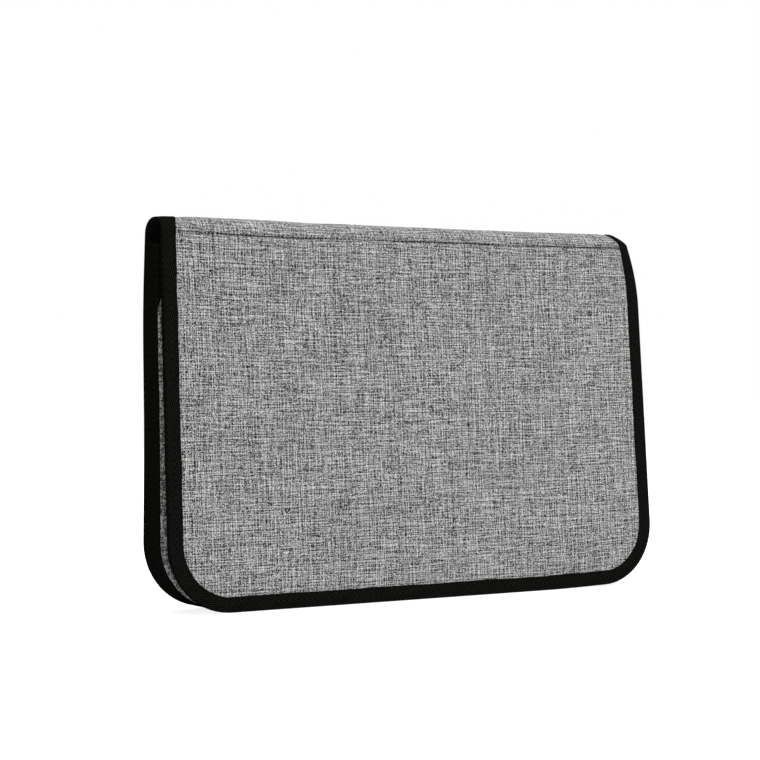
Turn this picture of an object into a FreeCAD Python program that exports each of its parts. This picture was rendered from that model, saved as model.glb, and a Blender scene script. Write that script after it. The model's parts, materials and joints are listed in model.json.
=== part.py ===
import FreeCAD
import Part
import math
import os

# Folding tactics board: a padded fabric case that stands closed on its foot, with its fold on top.
# X runs along the fold, the front faces -Y and Z is up. The origin is the middle of the foot.
# All sizes are millimetres.

# Case
case_width = 402.0
crease_height = 250.0
foot_depth = 42.2
side_taper = 2.6
corner_radius = 45.0
fold_gap = 0.3
fold_setback = 3.0

# Layers of a padded panel
fabric_thickness = 0.8
foam_thickness = 1.5
stiffener_thickness = 2.0
lining_thickness = 0.5

# Binding tape
tape_thickness = 0.8
binding_width = 10.0
binding_edge_radius = 1.5

# Raised rim along the sides and the foot of the rear panel; its depth counts from the panel's outer face
rim_width = 10.0
rim_depth = 23.5
rim_clearance = 0.3
rim_drop = 7.0

# Magnetic writing board
board_margin = 8.0
board_top_drop = 18.0
board_top_radius = 12.0
core_thickness = 2.4
steel_thickness = 0.5
film_thickness = 0.2
trim_wall = 1.2
trim_lip_width = 4.0
trim_lip_thickness = 0.6

# Document pocket
pocket_margin = 4.0
pocket_mouth_drop = 52.0
pocket_thickness = 0.8

# Markers, lying along the spine
barrel_diameter = 10.2
barrel_length = 92.0
barrel_wall = 1.0
shoulder_thickness = 2.0
plug_length = 4.0
plug_spigot_length = 6.0
neck_step = 0.8
neck_wall = 1.5
neck_length = 9.0
holder_step = 0.7
holder_tip_wall = 0.7
holder_length = 10.0
nib_diameter = 3.0
nib_length = 5.0
nib_spigot_length = 6.0
cap_flare = 0.3
cap_gap = 0.3
cap_fit = 0.1
cap_end_room = 12.0
cap_end_wall = 4.0
eraser_step = 0.6
eraser_length = 4.0
seat_fit = 0.05
marker_start = 28.0
marker_rise = 1.6
marker_room = 0.6

# Elastic loops that hold the markers
loop_thickness = 1.0
loop_width = 14.0
loop_foot_width = 7.0
loop_clearance = 0.3
loops_per_marker = 2

# Player discs and ball on the board
magnet_diameter = 15.8
magnet_thickness = 3.0
magnet_fit = 0.1
disc_wall = 2.0
disc_roof = 3.0
disc_edge_radius = 1.0
ball_diameter = 10.0
ball_height = 5.0
ball_edge_radius = 1.2
board_edge_room = 18.0

# Lines of players, as shares of the free half length and half height of the board
goalkeeper_line = 1.0
defender_line = 0.7
centre_line = 0.42
forward_line = 0.19
defender_lane = 0.5
forward_lane = 0.62

# Sizes that follow from those above
padding = foam_thickness + lining_thickness
panel_thickness = 2 * tape_thickness + fabric_thickness + stiffener_thickness + padding
spine_thickness = 2 * tape_thickness + fabric_thickness + padding
neck_diameter = barrel_diameter - 2 * neck_step
cap_diameter = barrel_diameter + 2 * cap_flare
loop_radius = barrel_diameter / 2 + loop_clearance + loop_thickness
marker_reach = max(cap_diameter / 2 + marker_room, loop_radius - tape_thickness)
spine_radius = marker_rise + marker_reach + spine_thickness
spine_half = case_width / 2 - side_taper
rear_plane = foot_depth / 2
spine_y = rear_plane - spine_radius
front_plane = rear_plane - 2 * spine_radius
front_lean = math.atan((foot_depth - 2 * spine_radius) / crease_height)
front_length = (crease_height - panel_thickness * math.sin(front_lean)) / math.cos(front_lean)
lining_face = panel_thickness - tape_thickness
rim_top_depth = 2 * spine_radius - panel_thickness - rim_clearance
board_inset = binding_width + board_margin
film_face = lining_face + core_thickness + steel_thickness + film_thickness
board_middle = (board_inset + crease_height - board_top_drop) / 2
disc_diameter = magnet_diameter + 2 * (magnet_fit + disc_wall)
disc_height = magnet_thickness + disc_roof
disc_edge = trim_lip_width + board_edge_room + disc_diameter / 2
play_half_length = case_width / 2 - side_taper - board_inset - disc_edge
play_half_height = crease_height - board_top_drop - board_middle - disc_edge
marker_z = crease_height + marker_rise

# Helpers for cutting and rounding: overshoot of a cutter, least radius, most of a wall that a
# rounding takes, and the length under which two places are one
beyond = 5.0
least_radius = 0.5
wall_share = 0.4
near_zero = 1e-4


def vec(x, y, z):
    return FreeCAD.Vector(x, y, z)


def is_flat(edge, y):
    box = edge.BoundBox
    return box.YLength < near_zero and abs(box.YMin - y) < near_zero


def edges_through(solid, z):
    """The edges along Y that stand at height z."""
    boxes = [(edge, edge.BoundBox) for edge in solid.Edges]
    return [edge for edge, box in boxes if box.XLength < near_zero and box.ZLength < near_zero
            and abs(box.ZMin - z) < near_zero]


def plate(length, inset, near, far, top, top_radius=0.0):
    """A tapered panel outline with round foot corners, from y = near to y = far, fold at z = 0."""
    foot = inset - length

    def half(z):
        return case_width / 2 - inset - side_taper * (z + length) / length

    points = [vec(-half(foot), near, foot), vec(half(foot), near, foot)]
    points += [vec(half(top), near, top), vec(-half(top), near, top), points[0]]
    solid = Part.Face(Part.makePolygon(points)).extrude(vec(0, far - near, 0))
    solid = solid.makeFillet(max(corner_radius - inset, least_radius), edges_through(solid, foot))
    if top_radius:
        solid = solid.makeFillet(top_radius, edges_through(solid, top))
    return solid


def panel_layers(length):
    """Cover fabric, foam, stiffener and lining of one panel, outside first."""
    layers = {}
    near = tape_thickness
    stack = (("cover_fabric", fabric_thickness, fold_gap), ("foam_sheet", foam_thickness, fold_setback),
             ("stiffener", stiffener_thickness, fold_setback), ("lining", lining_thickness, fold_setback))
    for name, thickness, drop in stack:
        layers[name] = plate(length, tape_thickness, near, near + thickness, -drop)
        near += thickness
    return layers


def past_rim(length):
    """Everything beyond the front face of the rim, which slopes from its top to the foot."""
    slope = (rim_depth - rim_top_depth) / length
    high = vec(-case_width, rim_top_depth - slope * beyond, beyond)
    low = vec(-case_width, rim_depth + slope * beyond, -length - beyond)
    away = vec(0, case_width, 0)
    side = Part.Face(Part.makePolygon([high, low, low + away, high + away, high]))
    return side.extrude(vec(2 * case_width, 0, 0))


def rear_rim(length):
    """Padded rim on the sewn edge of the rear panel, and the tape band round its side."""
    far = panel_thickness + case_width / 2
    outside = plate(length, 0, panel_thickness, far, -rim_drop).cut(past_rim(length))
    core = plate(length, tape_thickness, panel_thickness - beyond, far + beyond, beyond)
    inside = plate(length, rim_width, panel_thickness - beyond, far + beyond, beyond)
    return {"rear_rim": outside.common(core).cut(inside), "rear_rim_band": outside.cut(core)}


def panel_binding(length):
    """Tape folded round the two sides and the foot of one panel."""
    block = plate(length, 0, 0, panel_thickness, -fold_gap)
    rims = [e for e in block.Edges if (is_flat(e, 0) or is_flat(e, panel_thickness))
            and e.BoundBox.ZMin < -fold_gap - near_zero]
    block = block.makeFillet(min(binding_edge_radius, wall_share * panel_thickness), rims)
    core = plate(length, tape_thickness, tape_thickness, lining_face, beyond)
    window = plate(length, binding_width, -beyond, panel_thickness + beyond, beyond)
    return block.cut(core).cut(window)


def writing_board(length):
    """Core board, steel sheet, writing film and edge trim on the lining of the rear panel."""
    def layer(near, far, inset):
        radius = max(board_top_radius + board_inset - inset, least_radius)
        return plate(length, inset, near, far, board_inset - inset - board_top_drop, radius)

    steel_near = lining_face + core_thickness
    film_near = steel_near + steel_thickness
    outside = layer(lining_face, film_face + trim_lip_thickness, board_inset - trim_wall)
    seat = layer(lining_face - beyond, film_face, board_inset)
    view = layer(lining_face - beyond, film_face + beyond, board_inset + trim_lip_width)
    return {"board_core": layer(lining_face, steel_near, board_inset),
            "board_steel_sheet": layer(steel_near, film_near, board_inset),
            "board_writing_film": layer(film_near, film_face, board_inset),
            "board_edge_trim": outside.cut(seat).cut(view)}


def pocket(length):
    """Flat pocket on the lining of the front panel."""
    return plate(length, binding_width + pocket_margin, lining_face, lining_face + pocket_thickness,
                 -pocket_mouth_drop)


def half_ring(outer, inner, start, end):
    """Half of a tube over the fold, from x = start to x = end."""
    def at(y, z):
        return vec(start, spine_y + y, crease_height + z)

    edges = [Part.Arc(at(-outer, 0), at(0, outer), at(outer, 0)).toShape(),
             Part.LineSegment(at(outer, 0), at(inner, 0)).toShape(),
             Part.Arc(at(inner, 0), at(0, inner), at(-inner, 0)).toShape(),
             Part.LineSegment(at(-inner, 0), at(-outer, 0)).toShape()]
    return Part.Face(Part.Wire(edges)).extrude(vec(end - start, 0, 0))


def spine_layers():
    """Cover fabric, foam strip and lining of the spine, outside first."""
    layers = {}
    outer = spine_radius - tape_thickness
    reach = spine_half - tape_thickness
    stack = (("spine_cover_fabric", fabric_thickness), ("spine_foam_strip", foam_thickness),
             ("spine_lining", lining_thickness))
    for name, thickness in stack:
        layers[name] = half_ring(outer, outer - thickness, -reach, reach)
        outer -= thickness
    return layers


def spine_binding(side):
    """Tape folded round one end of the spine; side is -1 on the left and 1 on the right."""
    end = side * spine_half
    ring = half_ring(spine_radius, spine_radius - spine_thickness, end - side * binding_width, end)
    rims = [e for e in ring.Edges if e.BoundBox.XLength < near_zero
            and abs(e.BoundBox.XMin - end) < near_zero and e.BoundBox.ZLength > near_zero]
    ring = ring.makeFillet(min(binding_edge_radius, wall_share * spine_thickness), rims)
    core = half_ring(spine_radius - tape_thickness, spine_radius - spine_thickness + tape_thickness,
                     end - side * (binding_width + beyond), end - side * tape_thickness)
    return ring.cut(core)


def rod(diameter, start, end):
    return Part.makeCylinder(diameter / 2, end - start, vec(start, 0, 0), vec(1, 0, 0))


def marker_pieces():
    """One marker along +X from its end plug at x = 0, with its cap on."""
    shoulder = plug_length + barrel_length
    neck_end = shoulder + neck_length
    tip = neck_end + holder_length
    nib_end = tip + nib_length
    cap_start = shoulder + cap_gap
    cap_hollow_end = nib_end + cap_end_room
    cap_end = cap_hollow_end + cap_end_wall
    bore = barrel_diameter - 2 * barrel_wall
    neck_bore = neck_diameter - 2 * neck_wall
    hollow_end = shoulder - shoulder_thickness
    barrel = rod(barrel_diameter, plug_length, shoulder).fuse(rod(neck_diameter, shoulder, neck_end))
    barrel = barrel.cut(rod(bore, 0, hollow_end)).cut(rod(neck_bore, 0, neck_end + beyond))
    plug = rod(barrel_diameter, 0, plug_length)
    plug = plug.fuse(rod(bore - 2 * seat_fit, 0, plug_length + plug_spigot_length))
    holder = Part.makeCone(neck_diameter / 2 - holder_step, nib_diameter / 2 + holder_tip_wall, holder_length,
                           vec(neck_end, 0, 0), vec(1, 0, 0))
    holder = holder.fuse(rod(neck_bore - 2 * seat_fit, shoulder, neck_end))
    holder = holder.cut(rod(nib_diameter, tip - nib_spigot_length, tip + beyond))
    nib = rod(nib_diameter - 2 * seat_fit, tip - nib_spigot_length, nib_end - nib_diameter / 2)
    nib = nib.fuse(Part.makeSphere(nib_diameter / 2 - seat_fit, vec(nib_end - nib_diameter / 2, 0, 0)))
    cap = rod(cap_diameter, cap_start, cap_end)
    cap = cap.cut(rod(neck_diameter + 2 * cap_fit, cap_start - beyond, cap_hollow_end))
    eraser = rod(cap_diameter - 2 * eraser_step, cap_end, cap_end + eraser_length)
    pieces = {"barrel": barrel, "end_plug": plug, "nib_holder": holder, "nib": nib,
              "cap": cap, "cap_eraser": eraser}
    return {name: piece.removeSplitter() for name, piece in pieces.items()}


def marker_loop(middle):
    """One elastic loop round a marker, with its foot sewn to the lining under the top of the spine."""
    start = vec(middle - loop_width / 2, spine_y, marker_z)
    along = vec(1, 0, 0)
    lining_radius = spine_radius - spine_thickness + tape_thickness
    foot = Part.makeBox(loop_width, loop_foot_width, lining_radius,
                        start + vec(0, -loop_foot_width / 2, 0))
    foot = foot.common(Part.makeCylinder(lining_radius, loop_width, start - vec(0, 0, marker_rise), along))
    loop = Part.makeCylinder(loop_radius, loop_width, start, along).fuse(foot)
    hole = Part.makeCylinder(loop_radius - loop_thickness, loop_width, start, along)
    return loop.cut(hole).removeSplitter()


def marker_loops():
    """The loops of both markers, evenly spread along the barrels."""
    loops = []
    spacing = barrel_length / loops_per_marker
    first = marker_start + plug_length + spacing / 2
    for side in (-1, 1):
        for step in range(loops_per_marker):
            loops.append(marker_loop(side * (first + step * spacing)))
    return Part.makeCompound(loops)


def button(diameter, height, edge_radius):
    """A disc standing on the writing film towards -Y, with its outer edge rounded."""
    disc = Part.makeCylinder(diameter / 2, height, vec(0, 0, 0), vec(0, -1, 0))
    rim = [e for e in disc.Edges if is_flat(e, -height)]
    return disc.makeFillet(edge_radius, rim)


def player_disc():
    """Disc shell and the ferrite magnet in its recess."""
    inward = vec(0, -1, 0)
    magnet = Part.makeCylinder(magnet_diameter / 2, magnet_thickness, vec(0, 0, 0), inward)
    recess = Part.makeCylinder(magnet_diameter / 2 + magnet_fit, magnet_thickness, vec(0, 0, 0), inward)
    return {"shell": button(disc_diameter, disc_height, disc_edge_radius).cut(recess), "magnet": magnet}


def formation():
    """Places of the six players of the right-hand set, from the middle of the board."""
    shares = [(goalkeeper_line, 0), (defender_line, -defender_lane), (defender_line, defender_lane),
              (centre_line, 0), (forward_line, -forward_lane), (forward_line, forward_lane)]
    return [(line * play_half_length, lane * play_half_height) for line, lane in shares]


def on_rear(shape):
    placed = shape.copy()
    placed.rotate(vec(0, 0, 0), vec(0, 0, 1), 180)
    placed.translate(vec(0, rear_plane, crease_height))
    return placed


def on_front(shape):
    placed = shape.copy()
    placed.rotate(vec(0, 0, 0), vec(1, 0, 0), -math.degrees(front_lean))
    placed.translate(vec(0, front_plane, crease_height))
    return placed


def on_board(shape, x, z):
    placed = shape.copy()
    placed.translate(vec(x, rear_plane - film_face, board_middle + z))
    return placed


def in_loops(shape, side):
    placed = shape.copy()
    placed.translate(vec(marker_start, 0, 0))
    if side < 0:
        placed.rotate(vec(0, 0, 0), vec(0, 0, 1), 180)
    placed.translate(vec(0, spine_y, marker_z))
    return placed


def all_parts():
    """Every node of the tactics board, by name."""
    parts = {}
    for name, layer in panel_layers(crease_height).items():
        parts["rear_" + name] = on_rear(layer)
    for name, layer in panel_layers(front_length).items():
        parts["front_" + name] = on_front(layer)
    parts["rear_binding"] = on_rear(panel_binding(crease_height))
    parts["front_binding"] = on_front(panel_binding(front_length))
    for name, piece in rear_rim(crease_height).items():
        parts[name] = on_rear(piece)
    for name, piece in writing_board(crease_height).items():
        parts[name] = on_rear(piece)
    parts["pocket_panel"] = on_front(pocket(front_length))
    parts.update(spine_layers())
    parts["spine_binding_left"] = spine_binding(-1)
    parts["spine_binding_right"] = spine_binding(1)
    parts["marker_loops"] = marker_loops()
    for label, side in (("left", -1), ("right", 1)):
        for name, piece in marker_pieces().items():
            parts["marker_" + label + "_" + name] = in_loops(piece, side)
    for team, side in (("home", -1), ("away", 1)):
        for number, (out, across) in enumerate(formation(), 1):
            for name, piece in player_disc().items():
                parts[f"{team}_{number}_{name}"] = on_board(piece, side * out, across)
    parts["ball_magnet"] = on_board(button(ball_diameter, ball_height, ball_edge_radius), 0, 0)
    return parts


os.makedirs("parts", exist_ok=True)
for node, shape in all_parts().items():
    shape.exportStep("parts/" + node + ".step")
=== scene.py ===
"""Looks of a folding tactics board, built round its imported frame.

The closed case stands on its foot with its fold on top. X runs along the fold, the front faces -Y,
Z is up and every size is in metres.
"""
import json
import logging
import math
from dataclasses import dataclass
from enum import Enum
from functools import cache
from typing import Callable, Sequence

import bmesh
import bpy
import numpy as np
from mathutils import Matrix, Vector

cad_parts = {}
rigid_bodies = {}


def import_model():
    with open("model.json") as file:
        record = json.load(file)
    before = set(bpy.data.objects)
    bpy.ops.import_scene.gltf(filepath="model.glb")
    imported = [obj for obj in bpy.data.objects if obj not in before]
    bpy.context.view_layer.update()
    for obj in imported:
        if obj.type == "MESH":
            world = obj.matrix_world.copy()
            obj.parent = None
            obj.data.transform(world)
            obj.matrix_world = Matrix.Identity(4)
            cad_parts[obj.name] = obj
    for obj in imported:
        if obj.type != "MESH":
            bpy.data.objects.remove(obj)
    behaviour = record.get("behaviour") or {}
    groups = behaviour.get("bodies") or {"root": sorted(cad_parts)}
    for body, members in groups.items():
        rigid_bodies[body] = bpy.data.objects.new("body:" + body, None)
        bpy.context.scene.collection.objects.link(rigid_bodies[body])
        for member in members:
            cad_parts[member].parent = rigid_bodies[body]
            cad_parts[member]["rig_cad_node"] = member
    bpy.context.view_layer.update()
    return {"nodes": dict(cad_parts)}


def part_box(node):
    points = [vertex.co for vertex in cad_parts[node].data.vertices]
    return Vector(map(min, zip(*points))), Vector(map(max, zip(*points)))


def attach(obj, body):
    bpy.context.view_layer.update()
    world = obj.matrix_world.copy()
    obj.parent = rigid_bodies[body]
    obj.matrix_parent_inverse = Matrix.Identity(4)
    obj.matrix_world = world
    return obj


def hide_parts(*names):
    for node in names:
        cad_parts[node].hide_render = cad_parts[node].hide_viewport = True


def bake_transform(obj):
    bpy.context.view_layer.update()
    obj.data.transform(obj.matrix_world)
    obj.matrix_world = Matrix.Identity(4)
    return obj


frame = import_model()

LOG = logging.getLogger("tactics_board")
FLAT_PLACE = "flat_place"
MM = 0.001
QUARTER = math.pi / 2

Array = np.ndarray
Faces = list[tuple[int, ...]]
Heights = Callable[[Array, Array], Array]
Piece = bpy.types.Object
Tree = bpy.types.NodeTree
Node = bpy.types.Node
Socket = bpy.types.NodeSocket
Colour = tuple[float, float, float, float]
Value = float | Socket | Sequence[float]


def grey(level: float) -> Colour:
    """A neutral linear colour of that level."""
    return (level, level, level, 1.0)


def ease(x: Array | float) -> Array:
    """Smooth step from 0 to 1 as x goes from 0 to 1."""
    t = np.clip(x, 0.0, 1.0)
    return t * t * (3.0 - 2.0 * t)


def unit(ways: Array) -> Array:
    """The same directions with length 1, one row each."""
    return ways / np.linalg.norm(ways, axis=1, keepdims=True)


def run_length(points: Array) -> Array:
    """Way along a path from its first point to each point."""
    return np.concatenate([[0.0], np.cumsum(np.linalg.norm(np.diff(points, axis=0), axis=1))])


def circle(radius: float, x: float, z: float, count: int) -> Array:
    """That many points of a circle about (x, z)."""
    angles = np.linspace(0, 2 * math.pi, count, endpoint=False)
    return np.column_stack([x + radius * np.cos(angles), z + radius * np.sin(angles)])


def middle_of(node: str) -> tuple[float, ...]:
    """Middle of the box of a CAD node."""
    return tuple((low + high) / 2 for low, high in zip(*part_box(node)))


@dataclass(frozen=True)
class Span:
    """A stretch over which something sets in, or the place and the width of a bump."""

    start: float
    reach: float

    def step(self, x: Array) -> Array:
        """Smooth step from 0 at the start to 1 at the end of the stretch."""
        return ease((x - self.start) / self.reach)

    def bump(self, x: Array) -> Array:
        """Bump of height 1 about the start."""
        return np.exp(-((x - self.start) / self.reach) ** 2)


class Half(Enum):
    """The two halves of the case, parted along the top of the spine."""

    FRONT = "front"
    REAR = "rear"

    @property
    def body(self) -> str:
        """Name of the body that carries this half's panel."""
        return "front_cover" if self is Half.FRONT else "rear"

    @property
    def outward(self) -> float:
        """Direction of the outer face along Y."""
        return -1.0 if self is Half.FRONT else 1.0


class Face(Enum):
    """The two faces of a sewn panel."""

    OUTSIDE = "outside"
    INSIDE = "inside"

    @property
    def rise(self) -> float:
        """Direction that leads off the face, along the height over the tape."""
        return 1.0 if self is Face.OUTSIDE else -1.0


class Side(Enum):
    """The two ends of the spine, each with its marker."""

    LEFT = "left"
    RIGHT = "right"

    @property
    def sign(self) -> float:
        """Direction of that end along X."""
        return -1.0 if self is Side.LEFT else 1.0


class Team(Enum):
    """The two sets of player discs."""

    HOME = "home"
    AWAY = "away"


class Graph:
    """Short calls for laying nodes in one shader tree."""

    def __init__(self, tree: Tree) -> None:
        """Keeps the tree that the calls add to."""
        self.tree = tree

    def feed(self, socket: Socket, value: Value) -> None:
        """Links a socket to an input, or sets the input to a plain value.

        Args:
            socket: The input to feed.
            value: An output socket, or a number, vector or colour.
        """
        if isinstance(value, Socket):
            self.tree.links.new(value, socket)
        else:
            socket.default_value = value

    def fill(self, node: Node, **inputs: Value) -> Node:
        """Feeds several inputs of a node.

        Args:
            node: The node.
            **inputs: Values or sockets by the input's name, with _ for a space.

        Returns:
            The same node.
        """
        for name, value in inputs.items():
            self.feed(node.inputs[name.replace("_", " ")], value)
        return node

    def node(self, kind: str, *inputs: Value | None, **settings: object) -> Node:
        """Adds one node.

        Args:
            kind: The node type after "ShaderNode", such as "TexNoise".
            *inputs: Values or sockets of its first inputs, in order, with None for one left as it is.
            **settings: Properties of the node itself.

        Returns:
            The node.
        """
        made = self.tree.nodes.new("ShaderNode" + kind)
        for name, value in settings.items():
            setattr(made, name, value)
        for socket, value in zip(made.inputs, inputs):
            if value is not None:
                self.feed(socket, value)
        return made

    def math(self, operation: str, *values: Value) -> Socket:
        """Result of one math node on those values."""
        return self.node("Math", *values, operation=operation).outputs[0]

    def total(self, base: Value, *terms: tuple[Value, float]) -> Socket:
        """Adds up weighted values.

        Args:
            base: What the sum starts from.
            *terms: Each value with its weight.

        Returns:
            The sum.
        """
        for value, weight in terms:
            base = self.math("MULTIPLY_ADD", value, weight, base)
        return base

    def arch(self, value: Value) -> Socket:
        """A row of arches, each of length and height 1."""
        return self.math("SINE", self.math("MULTIPLY", self.math("FRACT", value), math.pi))

    def vectors(self, operation: str, one: Value, two: Value) -> Socket:
        """Result of one vector math node on two vectors."""
        return self.node("VectorMath", one, two, operation=operation).outputs[0]

    def scaled(self, vector: Value, factor: Value) -> Socket:
        """A vector or colour times a factor."""
        return self.fill(self.node("VectorMath", vector, operation="SCALE"), Scale=factor).outputs[0]

    def vector(self, *parts: Value) -> Socket:
        """Joins values into a vector."""
        return self.node("CombineXYZ", *parts).outputs[0]

    def mix(self, factor: Value, low: Value, high: Value) -> Socket:
        """Mixes two plain values."""
        return self.node("Mix", factor, None, low, high, data_type="FLOAT").outputs[0]

    def blend(self, factor: Value, low: Value, high: Value) -> Socket:
        """Mixes two colours."""
        return self.node("Mix", factor, *[None] * 5, low, high, data_type="RGBA").outputs[2]

    def noise(self, vector: Socket, scale: Value, detail: float = 2.0, roughness: float = 0.5) -> Node:
        """A noise texture node."""
        return self.node("TexNoise", vector, None, scale, detail, roughness)

    def level(self, vector: Socket, scale: Value, detail: float = 2.0, roughness: float = 0.5) -> Socket:
        """Value of a noise texture."""
        return self.noise(vector, scale, detail, roughness).outputs[0]

    def white(self, dimensions: str, **inputs: Value) -> Socket:
        """Value of a white noise texture of that many dimensions, such as "2D"."""
        return self.fill(self.node("TexWhiteNoise", noise_dimensions=dimensions), **inputs).outputs["Value"]

    def remap(self, value: Value, *limits: float) -> Socket:
        """Maps a range to another: from low, from high, to low and to high, 0 or 1 where left out."""
        return self.node("MapRange", value, *limits).outputs[0]

    def ramp(self, factor: Value, *colours: Colour) -> Socket:
        """Colour ramp through evenly spaced colours.

        Args:
            factor: What the ramp reads.
            *colours: Its colours, lowest first.

        Returns:
            The colour output.
        """
        made = self.node("ValToRGB", factor)
        elements = made.color_ramp.elements
        while len(elements) < len(colours):
            elements.new(1.0)
        for element, place, colour in zip(elements, np.linspace(0.0, 1.0, len(colours)), colours):
            element.position = place
            element.color = colour
        return made.outputs[0]

    def bump(self, height: Socket, distance: float, strength: float) -> Socket:
        """Normal of a height map whose full height is distance."""
        return self.fill(self.node("Bump"), Height=height, Distance=distance, Strength=strength).outputs[0]

    def group(self, tree: Tree, **inputs: Value) -> bpy.types.bpy_prop_collection:
        """Outputs of a node group placed with its own values; see fill."""
        return self.fill(self.node("Group", node_tree=tree), **inputs).outputs


class Effect(Graph):
    """A shader node group that starts from a place on the surface."""

    def __init__(self, name: str, inputs: Sequence[str], outputs: Sequence[str]) -> None:
        """Starts the group.

        Args:
            name: Name of the group.
            inputs: Names of the values that it takes beside Place.
            outputs: Names of the values that it puts out.
        """
        super().__init__(bpy.data.node_groups.new(name, "ShaderNodeTree"))
        sockets = [("Place", "INPUT", "NodeSocketVector")]
        sockets += [(label, "INPUT", "NodeSocketFloat") for label in inputs]
        sockets += [(label, "OUTPUT", "NodeSocketFloat") for label in outputs]
        for label, way, kind in sockets:
            self.tree.interface.new_socket(label, in_out=way, socket_type=kind)
        self.given = self.tree.nodes.new("NodeGroupInput").outputs
        self.leave = self.tree.nodes.new("NodeGroupOutput")

    def give(self, **outputs: Socket) -> Tree:
        """Feeds the group's outputs as fill does, and returns the group."""
        self.fill(self.leave, **outputs)
        return self.tree


class Effects:
    """Shader node groups that several finishes share, each built once."""

    YARN, SLUB, RARE, DYE = 2.1, 1.1, 75.0, 0.5
    NEAR, FAR, SPECK, BASE = 1.55, -0.55, 1.8, -2.35

    @classmethod
    def strand(cls, graph: Graph, run: Socket, lane: Socket, salt: float) -> Socket:
        """Shade along one yarn.

        Args:
            graph: The group's graph.
            run: Place along the yarn.
            lane: Number that only this yarn has.
            salt: Number that all yarns of its direction share.

        Returns:
            The weighted sum of its changing shade, its slubs, the rare long ones among them, and its dye.
        """
        yarn = graph.level(graph.vector(run, lane, salt), 1.0, 2.0, 0.6)
        slub = graph.level(graph.vector(graph.math("MULTIPLY", run, 0.3), lane, 3.0), 1.0, 0.0)
        rare = graph.math("POWER", graph.math("SUBTRACT", slub, 0.5), 3.0)
        dye = graph.white("1D", W=lane)
        return graph.total(0.0, (slub, cls.SLUB), (yarn, cls.YARN), (rare, cls.RARE), (dye, cls.DYE))

    @classmethod
    @cache
    def woven_threads(cls) -> Tree:
        """Plain weave of uneven yarns, each set off against the next but one.

        Returns:
            A group from Place, Pitch, Streak and Wander to Height and to Tone, which is that of the top yarn.
        """
        graph = Effect("woven_threads", ("Pitch", "Streak", "Wander"), ("Tone", "Height"))
        given = graph.given
        stray = graph.noise(given["Place"], 55.0).outputs["Color"]
        wander = graph.vectors("SUBTRACT", stray, (0.5, 0.5, 0.5))
        threads = graph.scaled(given["Place"], graph.math("DIVIDE", 1.0, given["Pitch"]))
        threads = graph.vectors("ADD", threads, graph.scaled(wander, given["Wander"]))
        split = graph.node("SeparateXYZ", threads).outputs
        indices = [graph.math("FLOOR", split[axis]) for axis in (1, 0)]
        speck = graph.white("2D", Vector=graph.vector(*indices))
        tones = []
        for along, index, salt in zip(split, indices, (17.37, 13.71)):
            run = graph.math("DIVIDE", along, given["Streak"])
            lanes = [graph.math("MULTIPLY", graph.math("ADD", index, lag), salt) for lag in (0.0, 2.0)]
            near, far = (cls.strand(graph, run, lane, salt) for lane in lanes)
            tones.append(graph.total(cls.BASE, (far, cls.FAR), (near, cls.NEAR), (speck, cls.SPECK)))
        crowns = [graph.arch(split[axis]) for axis in (1, 0)]
        arched = [graph.math("MULTIPLY", one, graph.math("MULTIPLY_ADD", other, 0.5, 0.5))
                  for one, other in (crowns, crowns[::-1])]
        over = graph.math("FLOORED_MODULO", graph.math("ADD", *indices), 2.0)
        return graph.give(Tone=graph.mix(over, *tones), Height=graph.mix(over, *arched))

    @staticmethod
    @cache
    def herringbone() -> Tree:
        """Twill ribs that turn at regular chevrons across a tape.

        Returns:
            A group from Place, Rib and Chevron to Height and to Tone, painted sheen on the ribs' crowns,
            uneven from rib to rib, and painted shade between them.
        """
        graph = Effect("herringbone", ("Rib", "Chevron"), ("Tone", "Height"))
        rib_size = graph.given["Rib"]
        along, across = graph.node("SeparateXYZ", graph.given["Place"]).outputs[:2]
        turn = graph.math("PINGPONG", across, graph.given["Chevron"])
        slant = graph.math("DIVIDE", graph.math("MULTIPLY_ADD", turn, -3.0, along), rib_size)
        count = graph.math("DIVIDE", graph.math("MULTIPLY", across, 2.5), rib_size)
        rib = graph.arch(slant)
        lane = graph.math("MULTIPLY", graph.math("FLOOR", slant), 11.3)
        bright = graph.total(0.4, (graph.level(graph.vector(count, lane), 0.4), 1.2))
        stitch = graph.total(0.7, (graph.arch(count), 0.3))
        # Tone is painted sheen on the crowns and painted shade between the ribs.
        return graph.give(Tone=graph.math("MULTIPLY", graph.math("POWER", rib, 3.0), bright),
                          Height=graph.math("MULTIPLY", rib, stitch))

    @staticmethod
    @cache
    def moulded_skin() -> Tree:
        """Fine mould grain with handling marks.

        Returns:
            A group from Place and Grain to Grain Height, Smear, which is slow, and Scuff, which is sparse.
        """
        graph = Effect("moulded_skin", ("Grain",), ("Grain Height", "Smear", "Scuff"))
        place = graph.given["Place"]
        stretched = graph.fill(graph.node("Mapping", place), Scale=(40.0, 40.0, 900.0)).outputs[0]
        return graph.give(Grain_Height=graph.level(place, graph.given["Grain"], 3.0, 0.6),
                          Smear=graph.level(place, 60.0, 3.0, 0.55),
                          Scuff=graph.math("GREATER_THAN", graph.level(stretched, 1.0), 0.69))

    @staticmethod
    @cache
    def edge_wear() -> Tree:
        """Rubbed convex edges.

        Returns:
            A group from Place and Reach to Wear, from 0 to 1.
        """
        graph = Effect("edge_wear", ("Reach",), ("Wear",))
        proud = graph.remap(graph.node("NewGeometry").outputs["Pointiness"], 0.515, 0.6)
        patchy = graph.math("MULTIPLY", proud, graph.level(graph.given["Place"], 420.0, 3.0))
        return graph.give(Wear=graph.math("MULTIPLY", patchy, graph.given["Reach"]))


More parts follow.
